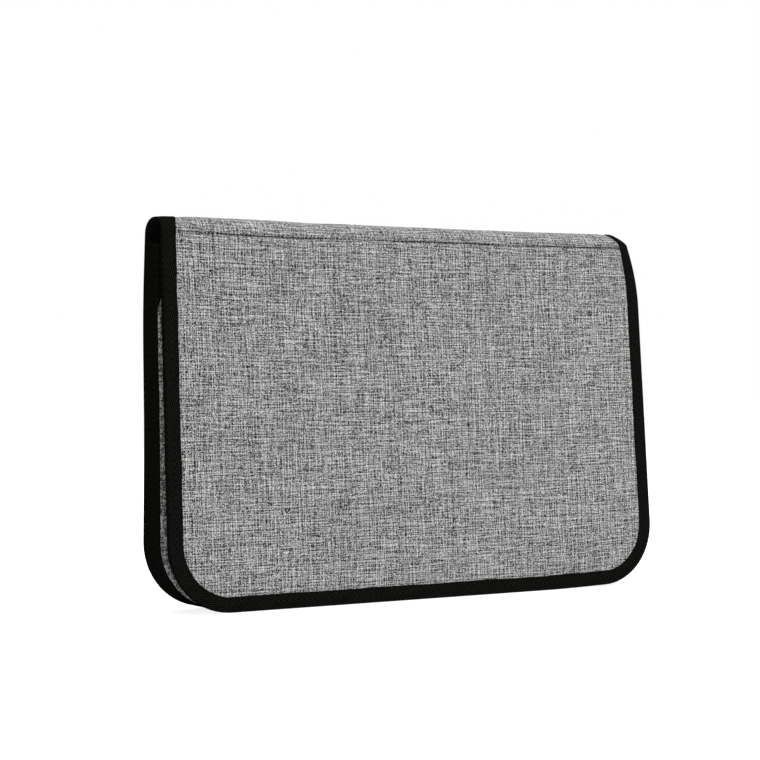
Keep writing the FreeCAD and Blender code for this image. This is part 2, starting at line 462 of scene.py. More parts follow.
@dataclass(frozen=True)
class Finish:
    """A finish that builds its material once.

    Attributes:
        name: What the name of its material starts with.
        slot: The record's material slot that it stands for; not used.
        roughness: Middle of its roughness.
        specular: Specular level of its shader.
    """

    name: str
    slot: str
    roughness: float = 0.5
    specular: float = 0.5

    @cache
    def material(self) -> bpy.types.Material:
        """The material, built when it is first asked for.

        Returns:
            The material.
        """
        made = bpy.data.materials.new(self.name + "_finish")
        made.use_nodes = True
        graph = Graph(made.node_tree)
        shader = made.node_tree.nodes["Principled BSDF"]
        graph.fill(shader, Roughness=self.roughness, Specular_IOR_Level=self.specular)
        self.dress(graph, shader)
        return made

    def dress(self, graph: Graph, shader: Node) -> None:
        """Lays this finish's nodes in front of the shader.

        Args:
            graph: The material's graph.
            shader: Its Principled BSDF.
        """
        raise NotImplementedError

    def put_on(self, piece: Piece) -> Piece:
        """Gives a piece this material alone.

        Args:
            piece: The piece to dress.

        Returns:
            The same piece.
        """
        piece.data.materials.clear()
        piece.data.materials.append(self.material())
        LOG.info("dressed %s in %s", piece.name, self.name)
        return piece

    @staticmethod
    def flat_place(graph: Graph) -> Socket:
        """Place on the flat cut of a sewn piece."""
        return graph.node("Attribute", attribute_name=FLAT_PLACE).outputs["Vector"]

    @staticmethod
    def solid_place(graph: Graph) -> Socket:
        """Place in a solid piece at rest."""
        return graph.node("TexCoord").outputs["Object"]


@dataclass(frozen=True)
class Melange(Finish):
    """Woven fabric of mixed light and dark yarns.

    Attributes:
        levels: Levels of the darkest, the usual and the lightest yarns.
        pitch: Distance between yarns.
        streak: Length of one yarn's shade, in yarns.
        wander: How far yarns leave their line, in yarns.
        relief: Height of the weave.
        tint: Share of red, green and blue in every level.
    """

    levels: tuple[float, float, float] = (0.015, 0.23, 0.82)
    pitch: float = 0.43 * MM
    streak: float = 14.0
    wander: float = 0.4
    relief: float = 0.16 * MM
    tint: tuple[float, float, float] = (1.0, 0.992, 0.985)

    def dress(self, graph: Graph, shader: Node) -> None:
        """Shades each yarn and raises the weave.

        Args:
            graph: Node tree of the material.
            shader: Its surface shader.
        """
        place = self.flat_place(graph)
        weave = graph.group(Effects.woven_threads(), Place=place, Pitch=self.pitch, Streak=self.streak,
                            Wander=self.wander)
        colours = [tuple(level * part for part in self.tint) + (1.0,) for level in self.levels]
        cloud = graph.remap(graph.level(place, 22.0, 3.0), 0.25, 0.75, 0.93, 1.05)
        graph.fill(shader, Base_Color=graph.scaled(graph.ramp(weave["Tone"], *colours), cloud),
                   Roughness=graph.remap(weave["Height"], 0.0, 1.0, 0.98, self.roughness),
                   Normal=graph.bump(weave["Height"], self.relief, 0.8),
                   Sheen_Weight=0.08, Sheen_Roughness=0.5)


@dataclass(frozen=True)
class Tape(Finish):
    """Black woven tape with herringbone ribs, drawn with painted sheen on their crowns and painted shade
    between them.

    Attributes:
        dark: Colour between the ribs, painted shade.
        light: Colour of the ribs' crowns, painted sheen.
        rib: Distance between ribs.
        chevron: Width of one slant of ribs.
        relief: Height of the ribs.
    """

    # Painted shade between the ribs, and painted sheen on their crowns.
    dark: Colour = grey(0.0003)
    light: Colour = (0.0168, 0.0171, 0.0146, 1.0)
    rib: float = 4.4 * MM
    chevron: float = 5.2 * MM
    relief: float = 0.14 * MM

    def dress(self, graph: Graph, shader: Node) -> None:
        """Paints sheen on the ribs' crowns and shade between them, and raises the ribs.

        Args:
            graph: Node tree of the material.
            shader: Its surface shader.
        """
        place = self.flat_place(graph)
        twill = graph.group(Effects.herringbone(), Place=place, Rib=self.rib, Chevron=self.chevron)
        fuzz = graph.total(-0.45, (graph.level(place, 2600.0), 0.9))
        # Painted sheen on the ribs' crowns and painted shade between them, with a fine random fuzz.
        painted_sheen_and_fuzz = graph.math("ADD", twill["Tone"], fuzz)
        graph.fill(shader, Base_Color=graph.blend(painted_sheen_and_fuzz, self.dark, self.light),
                   Roughness=graph.remap(twill["Height"], 0.0, 1.0, 0.95, self.roughness),
                   Normal=graph.bump(twill["Height"], self.relief, 0.8))


@dataclass(frozen=True)
class Fibre(Finish):
    """Matted or pressed fibre: thread, felt, foam or fibre board.

    Attributes:
        dark: Colour of the hollows.
        light: Colour of the crowns.
        grain: Fibres to a metre.
        relief: Height of the fibres.
    """

    dark: Colour = grey(0.01)
    light: Colour = grey(0.03)
    grain: float = 1800.0
    relief: float = 0.1 * MM

    def dress(self, graph: Graph, shader: Node) -> None:
        """Mottles the colour and roughens the face.

        Args:
            graph: Node tree of the material.
            shader: Its surface shader.
        """
        fibres = graph.level(self.solid_place(graph), self.grain, 4.0, 0.65)
        graph.fill(shader, Base_Color=graph.blend(graph.remap(fibres, 0.3, 0.7), self.dark, self.light),
                   Roughness=graph.remap(fibres, 0.0, 1.0, self.roughness, 1.0),
                   Normal=graph.bump(fibres, self.relief, 0.7))


@dataclass(frozen=True)
class Moulded(Finish):
    """Moulded plastic, coated sheet or printed ink.

    Attributes:
        colour: Colour of the body.
        worn: Colour where edges are rubbed.
        grain: Grains to a metre.
        relief: Height of the grain.
        wear: How far wear shows.
        coat: Weight of a clear gloss coat.
    """

    colour: Colour = grey(0.5)
    worn: Colour = grey(0.7)
    grain: float = 2400.0
    relief: float = 0.02 * MM
    wear: float = 1.0
    coat: float = 0.0

    def dress(self, graph: Graph, shader: Node) -> None:
        """Adds grain, smears, scuffs and rubbed edges.

        Args:
            graph: Node tree of the material.
            shader: Its surface shader.
        """
        place = self.solid_place(graph)
        skin = graph.group(Effects.moulded_skin(), Place=place, Grain=self.grain)
        wear = graph.group(Effects.edge_wear(), Place=place, Reach=self.wear)["Wear"]
        smeared = tuple(0.86 * part for part in self.colour[:3]) + (1.0,)
        tinted = graph.blend(skin["Smear"], smeared, self.colour)
        rough = graph.remap(skin["Smear"], 0.3, 0.7, self.roughness * 0.8, self.roughness * 1.25)
        graph.fill(shader, Base_Color=graph.blend(wear, tinted, self.worn),
                   Roughness=graph.math("MULTIPLY_ADD", skin["Scuff"], 0.12, rough),
                   Normal=graph.bump(skin["Grain Height"], self.relief, 0.5),
                   Coat_Weight=self.coat, Coat_Roughness=0.08)


# Each finish gives its name, its slot, its roughness and, where it isn't 0.5, its specular level.
COVER_MELANGE = Melange("cover_melange", "cover_melange", 0.85, 0.1)
# The lining's own grey melange, its levels lifted with painted light that makes up for the shade in the gap
# between the halves.
LIT_LINING_MELANGE = Melange("lit_lining_melange", "lining", 0.85, 0.1, (0.11, 0.37, 0.74), 0.8 * MM, 3.0)
BINDING_TAPE = Tape("binding_tape", "binding_tape", 0.85, 0.0)
ELASTIC = Tape("woven_elastic", "elastic", 0.75, 0.2, rib=2.0 * MM, chevron=40 * MM)
BLACK_THREAD = Fibre("black_thread", "binding_tape", 0.7, 0.0, grey(0.003), grey(0.012), 3200.0)
# Near-black crease thread: partly the real stitching, partly painted shade of the crease's fold.
CREASE_THREAD_AND_SHADE = Fibre("crease_thread_and_shade", "cover_melange", 0.7, 0.1, grey(0.004), grey(0.02), 3200.0)
FOAM = Fibre("foam", "foam", 0.9, 0.15, grey(0.12), grey(0.24), 1500.0, 0.2 * MM)
FELT = Fibre("felt", "felt", 0.9, 0.1, grey(0.04), grey(0.12), 2600.0, 0.15 * MM)
FIBRE_BOARD = Fibre("fibre_board", "core_board", 0.75, 0.25, (0.2, 0.12, 0.06, 1.0), (0.42, 0.29, 0.17, 1.0),
                    900.0)
FERRITE = Fibre("ferrite", "ferrite", 0.6, 0.4, grey(0.05), grey(0.11), 3000.0, 0.04 * MM)
STIFFENER = Moulded("stiffener", "stiffener", 0.55, colour=grey(0.22), worn=grey(0.35))
COATED_STEEL = Moulded("coated_steel", "steel", 0.35, colour=grey(0.7), worn=grey(0.45))
WRITING_FILM = Moulded("writing_film", "film", 0.16, colour=(0.83, 0.84, 0.83, 1.0), worn=grey(0.85),
                       grain=500.0, relief=0.01 * MM, coat=0.6)
EDGE_TRIM = Moulded("edge_trim", "trim", 0.45, colour=grey(0.02), worn=grey(0.09), wear=1.6)
COURT_INK = Moulded("court_ink", "film", 0.3, colour=(0.02, 0.07, 0.3, 1.0), worn=(0.05, 0.12, 0.4, 1.0))
GOAL_INK = Moulded("goal_ink", "film", 0.3, colour=(0.5, 0.03, 0.03, 1.0), worn=(0.6, 0.1, 0.1, 1.0))
BARREL_WHITE = Moulded("barrel_white", "marker_body", 0.3, colour=(0.8, 0.8, 0.78, 1.0), worn=grey(0.85))
MARKER_BLACK = Moulded("marker_black", "marker_black", 0.3, colour=grey(0.02), worn=grey(0.08))
MARKER_RED = Moulded("marker_red", "marker_red", 0.3, colour=(0.55, 0.03, 0.03, 1.0),
                     worn=(0.7, 0.2, 0.18, 1.0))
NIB_HOLDER = Moulded("nib_holder", "nib_holder", 0.5, colour=grey(0.08), worn=grey(0.2))
BALL_WHITE = Moulded("ball_white", "ball", 0.4, colour=(0.8, 0.79, 0.72, 1.0), worn=grey(0.85))
BALL_HOLE = Moulded("ball_hole", "ball", 0.6, colour=grey(0.06), worn=grey(0.1))
NUMBER_INK = Moulded("number_ink", "film", 0.4, colour=grey(0.82), worn=grey(0.85))
MARKER_INK = {Side.LEFT: MARKER_BLACK, Side.RIGHT: MARKER_RED}
DISC_PLASTIC = {
    Team.HOME: Moulded("disc_home", "disc_home", 0.3, colour=(0.03, 0.11, 0.45, 1.0),
                       worn=(0.2, 0.3, 0.6, 1.0)),
    Team.AWAY: Moulded("disc_away", "disc_away", 0.3, colour=(0.58, 0.05, 0.035, 1.0),
                       worn=(0.72, 0.25, 0.2, 1.0)),
}


def dress_nodes(finishes: dict[str, Finish]) -> None:
    """Gives CAD nodes their finishes, by name."""
    for node, finish in finishes.items():
        finish.put_on(frame["nodes"][node])


class Maker:
    """Turns points and faces into finished pieces."""

    @staticmethod
    def piece(name: str, points: Array, faces: Faces, finish: Finish, flat: Array | None = None) -> Piece:
        """Makes one mesh piece with its faces turned outwards.

        Args:
            name: Name of the piece.
            points: Its vertices, three numbers each in the last axis.
            faces: Vertex numbers of each face.
            finish: What it is made of.
            flat: Place of each vertex on the flat cut, if it is sewn.

        Returns:
            The object, linked to the scene.
        """
        mesh = bpy.data.meshes.new(name)
        mesh.from_pydata(np.asarray(points, float).reshape(-1, 3).tolist(), [], faces)
        work = bmesh.new()
        work.from_mesh(mesh)
        bmesh.ops.recalc_face_normals(work, faces=work.faces)
        work.to_mesh(mesh)
        work.free()
        mesh.polygons.foreach_set("use_smooth", [True] * len(mesh.polygons))
        if flat is not None:
            places = mesh.attributes.new(FLAT_PLACE, "FLOAT_VECTOR", "POINT")
            places.data.foreach_set("vector", np.asarray(flat, np.float32).ravel())
        made = bpy.data.objects.new(name, mesh)
        bpy.context.scene.collection.objects.link(made)
        LOG.info("made %s with %d faces", name, len(mesh.polygons))
        return finish.put_on(made)

    @staticmethod
    def grid_faces(rows: int, columns: int, first: int = 0, wrap: bool = False) -> Faces:
        """Quads of a grid of points.

        Args:
            rows: Number of rows.
            columns: Number of points in a row.
            first: Number of the first point.
            wrap: True where a row is a closed ring.

        Returns:
            The faces.
        """
        faces = []
        for low in range(first, first + (rows - 1) * columns, columns):
            for column in range(columns if wrap else columns - 1):
                beside = (column + 1) % columns
                faces.append((low + column, low + beside, low + columns + beside, low + columns + column))
        return faces

    @classmethod
    def shell(cls, rows: int, columns: int) -> Faces:
        """Faces of a closed shell of two equal grids, one after the other, joined round the rim.

        Args:
            rows: Number of rows of a grid.
            columns: Number of points in a row.

        Returns:
            The faces.
        """
        count = rows * columns
        faces = cls.grid_faces(rows, columns) + cls.grid_faces(rows, columns, count)
        rim = [*range(columns), *range(2 * columns - 1, count, columns)]
        rim += [*range(count - 2, count - columns - 1, -1), *range(count - 2 * columns, 0, -columns)]
        faces += [(here, there, there + count, here + count) for here, there in zip(rim, rim[1:] + rim[:1])]
        return faces

    @classmethod
    def tube(cls, rings: int, sides: int, first: int = 0) -> Faces:
        """Faces of a tube of rings with both ends closed."""
        ends = [tuple(range(start, start + sides)) for start in (first, first + (rings - 1) * sides)]
        return cls.grid_faces(rings, sides, first, wrap=True) + ends

    @classmethod
    def hoop(cls, rows: int, sides: int) -> Faces:
        """Faces of a grid that is closed both ways."""
        quads = cls.grid_faces(rows + 1, sides, wrap=True)
        return [tuple(corner % (rows * sides) for corner in quad) for quad in quads]


@dataclass(frozen=True)
class CaseForm:
    """Shape of one half of the sewn case, from its flat cut to the closed case.

    A place on the cut is u along the fold and v down from the top of the spine; h is the height over the
    outer face of the binding tape, less than 0 inside it.
    """

    half: Half
    width: float = 403.4 * MM
    crease_height: float = 250 * MM
    foot_depth: float = 42.2 * MM
    side_taper: float = 2.6 * MM
    corner_radius: float = 45 * MM
    spine_radius: float = 12 * MM
    # Layers.
    panel_thickness: float = 6.4 * MM
    spine_thickness: float = 4.4 * MM
    end_thickness: float = 3.0 * MM
    crease_thickness: float = 3.4 * MM
    tape: float = 0.8 * MM
    fabric: float = 0.8 * MM
    lining: float = 0.5 * MM
    end_band: Span = Span(-18 * MM, 12 * MM)
    panel_swell: Span = Span(0.0, 7 * MM)
    spine_swell: Span = Span(0.0, 6 * MM)
    edge_pinch: float = 2.0 * MM
    edge_fall: Span = Span(8 * MM, 14 * MM)
    # The spine's right end is pinched and drawn in.
    pinch_start: float = 150 * MM
    pinch_back: float = 3.0 * MM
    pinch_in: float = 5.2 * MM
    pinch_fade: float = 45 * MM
    right_draw: float = 8.6 * MM
    draw_start: float = 120 * MM
    draw_fade: Span = Span(0.25, 0.75)
    # Sag and lift of the fold, the top and the panels' corners.
    end_lift: float = 1.45 * MM
    fold_sag: float = 0.7 * MM
    sag_place: Span = Span(-105 * MM, 50 * MM)
    top_sag: float = 1.2 * MM
    left_drop: float = 1.5 * MM
    left_start: float = 160 * MM
    right_drop: float = 1.0 * MM
    right_start: float = 180 * MM
    rear_bow: float = 1.6 * MM
    bow_place: Span = Span(50 * MM, 60 * MM)
    bow_power: int = 9
    corner_rise: float = 1.2 * MM
    corner_reach: Span = Span(90 * MM, 70 * MM)
    right_rise: float = 1.5 * MM
    right_reach: Span = Span(100 * MM, 90 * MM)
    low_reach: Span = Span(100 * MM, 110 * MM)
    lean_settle: Span = Span(0.0, 6 * MM)
    # Fullness of the cover over its padding, and its sewn groove.
    fullness: float = 0.55 * MM
    full_reach: Span = Span(10 * MM, 16 * MM)
    groove: float = 1.5 * MM
    groove_place: Span = Span(0.0, 1.0 * MM)
    roll: float = 0.35 * MM
    roll_place: Span = Span(5.5 * MM, 4 * MM)
    roll_reach: Span = Span(10 * MM, 8 * MM)
    ripple: float = 0.16 * MM
    ripple_reach: Span = Span(10 * MM, 30 * MM)
    thread_rise: float = 0.15 * MM
    thread_sway: float = 0.22 * MM
    # Bend of the fold, and the rear panel's rim.
    bend_above: float = 5.0 * MM
    bend_below: float = 5.5 * MM
    # The rear tape's inner leg runs down over the rim's top and fades out here: a black strip put as painted
    # shade at the top of the gap between the halves.
    tape_end: Span = Span(24 * MM, 30 * MM)
    rim_depth: float = 25.5 * MM
    rim_clearance: float = 0.3 * MM
    rim_drop: float = 7 * MM
    rim_step: float = 3 * MM
    rim_width: float = 10 * MM
    rim_follow: float = 1.2

    @property
    def spine_y(self) -> float:
        """Y of the middle of the spine."""
        return self.foot_depth / 2 - self.spine_radius

    @property
    def lean(self) -> float:
        """Lean of the front panel."""
        return math.atan((self.foot_depth - 2 * self.spine_radius) / self.crease_height)

    @property
    def arc(self) -> float:
        """Length of the cut from the top of the spine to a crease."""
        return self.spine_radius * QUARTER

    @property
    def end(self) -> float:
        """Half of the spine's length."""
        return self.width / 2 - self.side_taper

    @property
    def length(self) -> float:
        """Length of the panel from its crease to its foot."""
        lean = self.lean if self.half is Half.FRONT else 0.0
        return (self.crease_height - self.panel_thickness * math.sin(lean)) / math.cos(lean)

    def toward_end(self, u: Array, start: float, most: float = 1.2) -> Array:
        """Square of the share of the way from start to the spine's end, which is kept from 0 to most."""
        return np.clip((u - start) / (self.end - start), 0.0, most) ** 2

    def pinch(self, u: Array) -> Array:
        """How far the right end of the spine is drawn in, from 0 to 1."""
        return self.toward_end(u, self.pinch_start, 1.0)

    def crease_lift(self, u: Array) -> Array:
        """Height of the front crease over the hinge."""
        return self.end_lift * (u / self.end) ** 4 - self.fold_sag * self.sag_place.bump(u)

    def top(self, u: Array) -> Array:
        """Height of the top of the spine.

        Args:
            u: Places along the fold.

        Returns:
            The height at each place.
        """
        drop = self.top_sag * np.cos(np.clip(u / self.end, -1.0, 1.0) * QUARTER)
        drop = drop + self.left_drop * self.toward_end(-u, self.left_start)
        drop = drop + self.right_drop * self.toward_end(u, self.right_start)
        return self.crease_height + self.spine_radius - drop

    def drawn(self, u: Array, v: Array) -> Array:
        """Shift along the fold of the spine's right end, which is drawn in at the top."""
        fade = 1.0 - self.draw_fade.step(v / self.arc)
        return -self.right_draw * fade * self.toward_end(u, self.draw_start)

    def front_fade(self, v: Array) -> Array:
        """How much of the right end's pinch reaches v on the front, from 1 on the spine to 0."""
        return np.clip(1.0 - np.maximum(v - self.arc, 0.0) / self.pinch_fade, 0.0, 1.0) ** 2

    def fade(self, v: Array) -> Array:
        """How much of the right end's pinch reaches v on this half."""
        rear_fade = np.clip(1.0 - v / (2 * self.arc), 0.0, 1.0) ** 2
        return self.front_fade(v) if self.half is Half.FRONT else rear_fade

    def place(self, u: Array, v: Array, h: Array) -> Array:
        """Place of points of the cut on the closed case.

        Args:
            u: Places along the fold.
            v: Places down from the top of the spine.
            h: Heights over the tape's outer face.

        Returns:
            Points of the closed case, with the shape of the arguments and three numbers each.
        """
        u, v, h = np.broadcast_arrays(*(np.asarray(part, float) for part in (u, v, h)))
        below = v - self.arc
        pinch, fade = self.pinch(u), self.fade(v)
        x = u - self.pinch_in * pinch * fade + self.drawn(u, v)
        if self.half is Half.FRONT:
            lean, lift, back = self.lean, self.crease_lift(u), self.pinch_back * pinch
            rise = self.right_rise * self.right_reach.step(u)
        else:
            lean, lift, back = 0.0, 0.0, 0.0
            x = x + self.rear_bow * (u / self.end) ** self.bow_power * self.bow_place.bump(below)
            rise = self.corner_rise * self.corner_reach.step(np.abs(u))
        crease = self.crease_height + lift
        wide, tall = self.spine_radius - back, self.top(u) - crease
        turn = np.clip(v / self.arc, 0.0, 1.0) * QUARTER
        round_y, round_z = tall * np.sin(turn), wide * np.cos(turn)
        long = np.hypot(round_y, round_z)
        down = np.maximum(below, 0.0)
        level_off = (1.0 - np.clip(below / self.length, 0.0, 1.0)) ** 2
        panel_y = self.spine_radius + down * math.sin(lean) - back * fade
        panel_z = self.crease_height - down * math.cos(lean) + lift * level_off
        settle = self.lean_settle.step(below)
        on_arch = below <= 0.0
        off_y = np.where(on_arch, wide * np.sin(turn), panel_y)
        z = np.where(on_arch, crease + tall * np.cos(turn), panel_z + rise * self.low_reach.step(below))
        normal_y = np.where(on_arch, round_y / long, 1.0 + settle * (math.cos(lean) - 1.0))
        normal_z = np.where(on_arch, round_z / long, settle * math.sin(lean))
        y = self.spine_y + self.half.outward * (off_y + h * normal_y)
        return np.stack([x, y, z + h * normal_z], axis=-1)

    def edge(self, v: Array | float, inset: float = 0.0) -> Array:
        """Half width of the cut at v, that far inside its edge.

        Args:
            v: Places down from the top of the spine.
            inset: Distance inside the cut's edge.

        Returns:
            The half widths.
        """
        below = v - self.arc
        side = self.width / 2 - inset - self.side_taper * (1.0 - np.clip(below / self.length, 0.0, 1.0))
        radius = self.corner_radius - inset
        into = np.clip(below - (self.length - inset - radius), 0.0, radius)
        return side - radius + np.sqrt(radius ** 2 - into ** 2)

    def from_edge(self, u: Array, v: Array) -> Array:
        """Distance from the nearer of the cut's side and foot."""
        return np.minimum(self.edge(v) - np.abs(u), self.length - (v - self.arc))

    def level(self, u: Array, v: Array) -> Array:
        """Height of the inner face of the lining: low on a panel, high at the sewn crease and edges.

        Args:
            u: Places along the fold.
            v: Places down from the top of the spine.

        Returns:
            Heights over the tape's outer face, less than 0.
        """
        below = v - self.arc
        near_end = self.end_band.step(np.abs(u) - self.end)
        spine = self.spine_thickness + near_end * (self.end_thickness - self.spine_thickness)
        panel = self.panel_thickness
        if self.half is Half.FRONT:
            panel = panel - self.edge_pinch * (1.0 - self.edge_fall.step(self.from_edge(u, v)))
        swell = np.where(below > 0, self.panel_swell.step(below) * (panel - self.crease_thickness),
                         self.spine_swell.step(-below) * (spine - self.crease_thickness))
        return self.tape - (self.crease_thickness + swell)

    def depth(self, u: Array, v: Array) -> Array:
        """Thickness of the edge that the binding covers, with the rim on the rear panel.

        Args:
            u: Places along the fold.
            v: Places down from the top of the spine.

        Returns:
            Thicknesses from the tape's outer face.
        """
        thick = self.tape - self.level(u, v)
        if self.half is Half.FRONT:
            return thick
        below = v - self.arc
        top = 2 * self.spine_radius - self.panel_thickness + self.edge_pinch - self.rim_clearance
        rim = top + (self.rim_depth - top) * np.clip(below / self.length, 0.0, 1.0)
        rim = rim - self.rim_follow * self.pinch_back * self.pinch(u) * self.front_fade(v)
        return thick + ease((below - self.rim_drop) / self.rim_step + 0.5) * (rim - thick)

    def skin(self, u: Array, v: Array) -> Array:
        """Height of the outer face of the cover fabric: full over the padding, drawn in at seams.

        Args:
            u: Places along the fold.
            v: Places down from the top of the spine.

        Returns:
            Heights over the tape's outer face.
        """
        below, inside = v - self.arc, self.from_edge(u, v)
        salt = 0.0 if self.half is Half.FRONT else 2.1
        wave = np.sin(u * 31 + v * 17 + salt) + 0.7 * np.sin(u * 53 - v * 41 + 1.3 + salt)
        wave = wave + 0.5 * np.sin(u * 97 + v * 83 + 0.4)
        rise = self.fullness * self.full_reach.step(inside) - self.groove * self.groove_place.bump(below)
        rise = rise + self.roll * self.roll_place.bump(below) * self.roll_reach.step(inside)
        return rise + self.ripple * wave * self.ripple_reach.step(inside) - self.tape

    def thread_sink(self, u: Array) -> Array:
        """Height of the crease's thread in its groove, which it leaves and sinks into along the fold."""
        return self.thread_rise + self.thread_sway * (np.sin(u * 43.0 + 0.6) + 0.6 * np.sin(u * 97.0 + 2.0))

    def rows(self, inset: float, start: float = 0.0, step: float = 3 * MM) -> Array:
        """Places down the cut, close together at the crease and round the foot's corners.

        Args:
            inset: Distance inside the cut's edge at the foot.
            start: First place.
            step: Usual distance between rows.

        Returns:
            Rising values of v.
        """
        foot = self.arc + self.length - inset
        radius = self.corner_radius - inset
        fine_from, fine_to = self.arc - 6 * MM, self.arc + 8 * MM
        parts = [np.arange(max(start, fine_to), foot - radius, step),
                 foot - radius + radius * np.sin(np.linspace(0, QUARTER, 22))]
        if start < fine_from:
            parts += [np.linspace(start, fine_from, 9), np.arange(fine_from, fine_to, 0.5 * MM)]
        elif start < fine_to:
            parts.append(np.arange(start, fine_to, 0.75 * MM))
        places = np.unique(np.round(np.concatenate(parts), 7))
        return places[np.concatenate([[True], np.diff(places) > 0.02 * MM])]

    def outline(self) -> tuple[Array, Array]:
        """The cut's edge from the top of the spine's left end, round the foot, to its right end.

        Returns:
            Points (u, v), one row each, and the unit directions inwards from them.
        """
        foot = self.arc + self.length
        radius = self.corner_radius
        fine = np.arange(self.arc - 8 * MM, self.arc + 10 * MM, 1 * MM)
        coarse = np.arange(self.arc + 10 * MM, foot - radius - 2 * MM, 4 * MM)
        side = np.concatenate([np.linspace(0, self.arc - 9 * MM, 8), fine, coarse])
        bend = np.linspace(0, QUARTER, 24)
        middle = self.edge(foot - radius) - radius
        corner = np.column_stack([-middle - radius * np.cos(bend), foot - radius + radius * np.sin(bend)])
        down = np.concatenate([np.column_stack([-self.edge(side), side]), corner])
        along = np.linspace(-middle, middle, 82)[1:-1]
        low = np.column_stack([along, np.full(along.size, foot)])
        points = np.concatenate([down, low, down[::-1] * (-1.0, 1.0)])
        ahead = unit(np.gradient(points, axis=0))
        return points, np.column_stack([ahead[:, 1], -ahead[:, 0]])

    def tape_share(self, v: Array) -> Array:
        """Share of the rear tape's inner leg: all at the top, none further down; over the rim's top it is
        painted shade.
        """
        return 1.0 - self.tape_end.step(v - self.arc)

    def corner_loss(self, inset: float) -> float:
        """Area that the foot's two round corners take off a cut that far inside the edge."""
        return (4 - math.pi) / 2 * (self.corner_radius - inset) ** 2

    def layer(self, name: str, rows: Array, step: float, inset: float, finish: Finish, outer: Heights,
              inner: Heights) -> Piece:
        """One closed layer of the half, between two heights.

        Args:
            name: Name of the piece.
            rows: Places down the cut.
            step: Distance between columns.
            inset: Distance of the layer's edge inside the cut's edge.
            finish: Finish of the layer.
            outer: Height of its outer face at (u, v).
            inner: Height of its inner face at (u, v).

        Returns:
            The piece.
        """
        columns = np.linspace(-1.0, 1.0, 2 * int(self.end / step) + 1)
        v, share = np.meshgrid(rows, columns, indexing="ij")
        u = share * self.edge(v, inset)
        points = np.stack([self.place(u, v, height(u, v)) for height in (outer, inner)])
        flat = np.stack([u, -self.half.outward * v, np.zeros_like(u)], axis=-1)
        return Maker.piece(name, points, Maker.shell(*u.shape), finish, np.stack([flat, flat]))

    def bend(self, piece: Piece) -> None:
        """Bakes a finished piece's transform into its mesh.

        Args:
            piece: The piece.
        """
        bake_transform(piece)


@dataclass(frozen=True)
class Seam:
    """A row of thread stitches."""

    pitch: float = 3.1 * MM
    length: float = 2.3 * MM
    radius: float = 0.24 * MM
    sides: int = 6
    rings: int = 5

    def spread(self, path: Array) -> tuple[Array, Array]:
        """Middles and directions of stitches spread evenly along a path on the cut.

        Args:
            path: Points (u, v), one row each.

        Returns:
            Middles and unit directions, one row each.
        """
        reach = run_length(path)
        count = max(int(reach[-1] / self.pitch), 1)
        places = (np.arange(count) + 0.5) * reach[-1] / count
        back, ahead = (np.column_stack([np.interp(places + off * self.pitch, reach, line) for line in path.T])
                       for off in (-0.2, 0.2))
        return (back + ahead) / 2, unit(ahead - back)

    def sew(self, name: str, form: CaseForm, path: Array, face: Face, height: Heights,
            finish: Finish) -> Piece:
        """Makes the stitches along a path on the cut.

        Args:
            name: Name of the piece.
            form: Shape of the half that they are on.
            path: Points (u, v) of the seam.
            face: The face that they are on.
            height: Height of the cloth at (u, v), counted off that face.
            finish: Finish of the thread.

        Returns:
            The piece, with all stitches of the row.
        """
        angles = np.arange(self.sides) * 2 * math.pi / self.sides
        share = np.linspace(-0.96, 0.96, self.rings)[:, None]
        swell = np.sqrt(1 - share ** 4) * self.radius
        aside = swell * np.cos(angles)
        rise = swell * np.sin(angles) - 0.9 * self.radius * share ** 4 + 0.25 * self.radius
        (u, v), (ahead_u, ahead_v) = (part.T[:, :, None, None] for part in self.spread(path))
        stitches, size = len(u), self.rings * self.sides
        u = u + share * ahead_u * self.length / 2 - aside * ahead_v
        v = v + share * ahead_v * self.length / 2 + aside * ahead_u
        points = form.place(u, v, face.rise * (height(u, v) + rise))
        faces = [side for first in range(0, stitches * size, size)
                 for side in Maker.tube(self.rings, self.sides, first)]
        return Maker.piece(name, points, faces, finish)


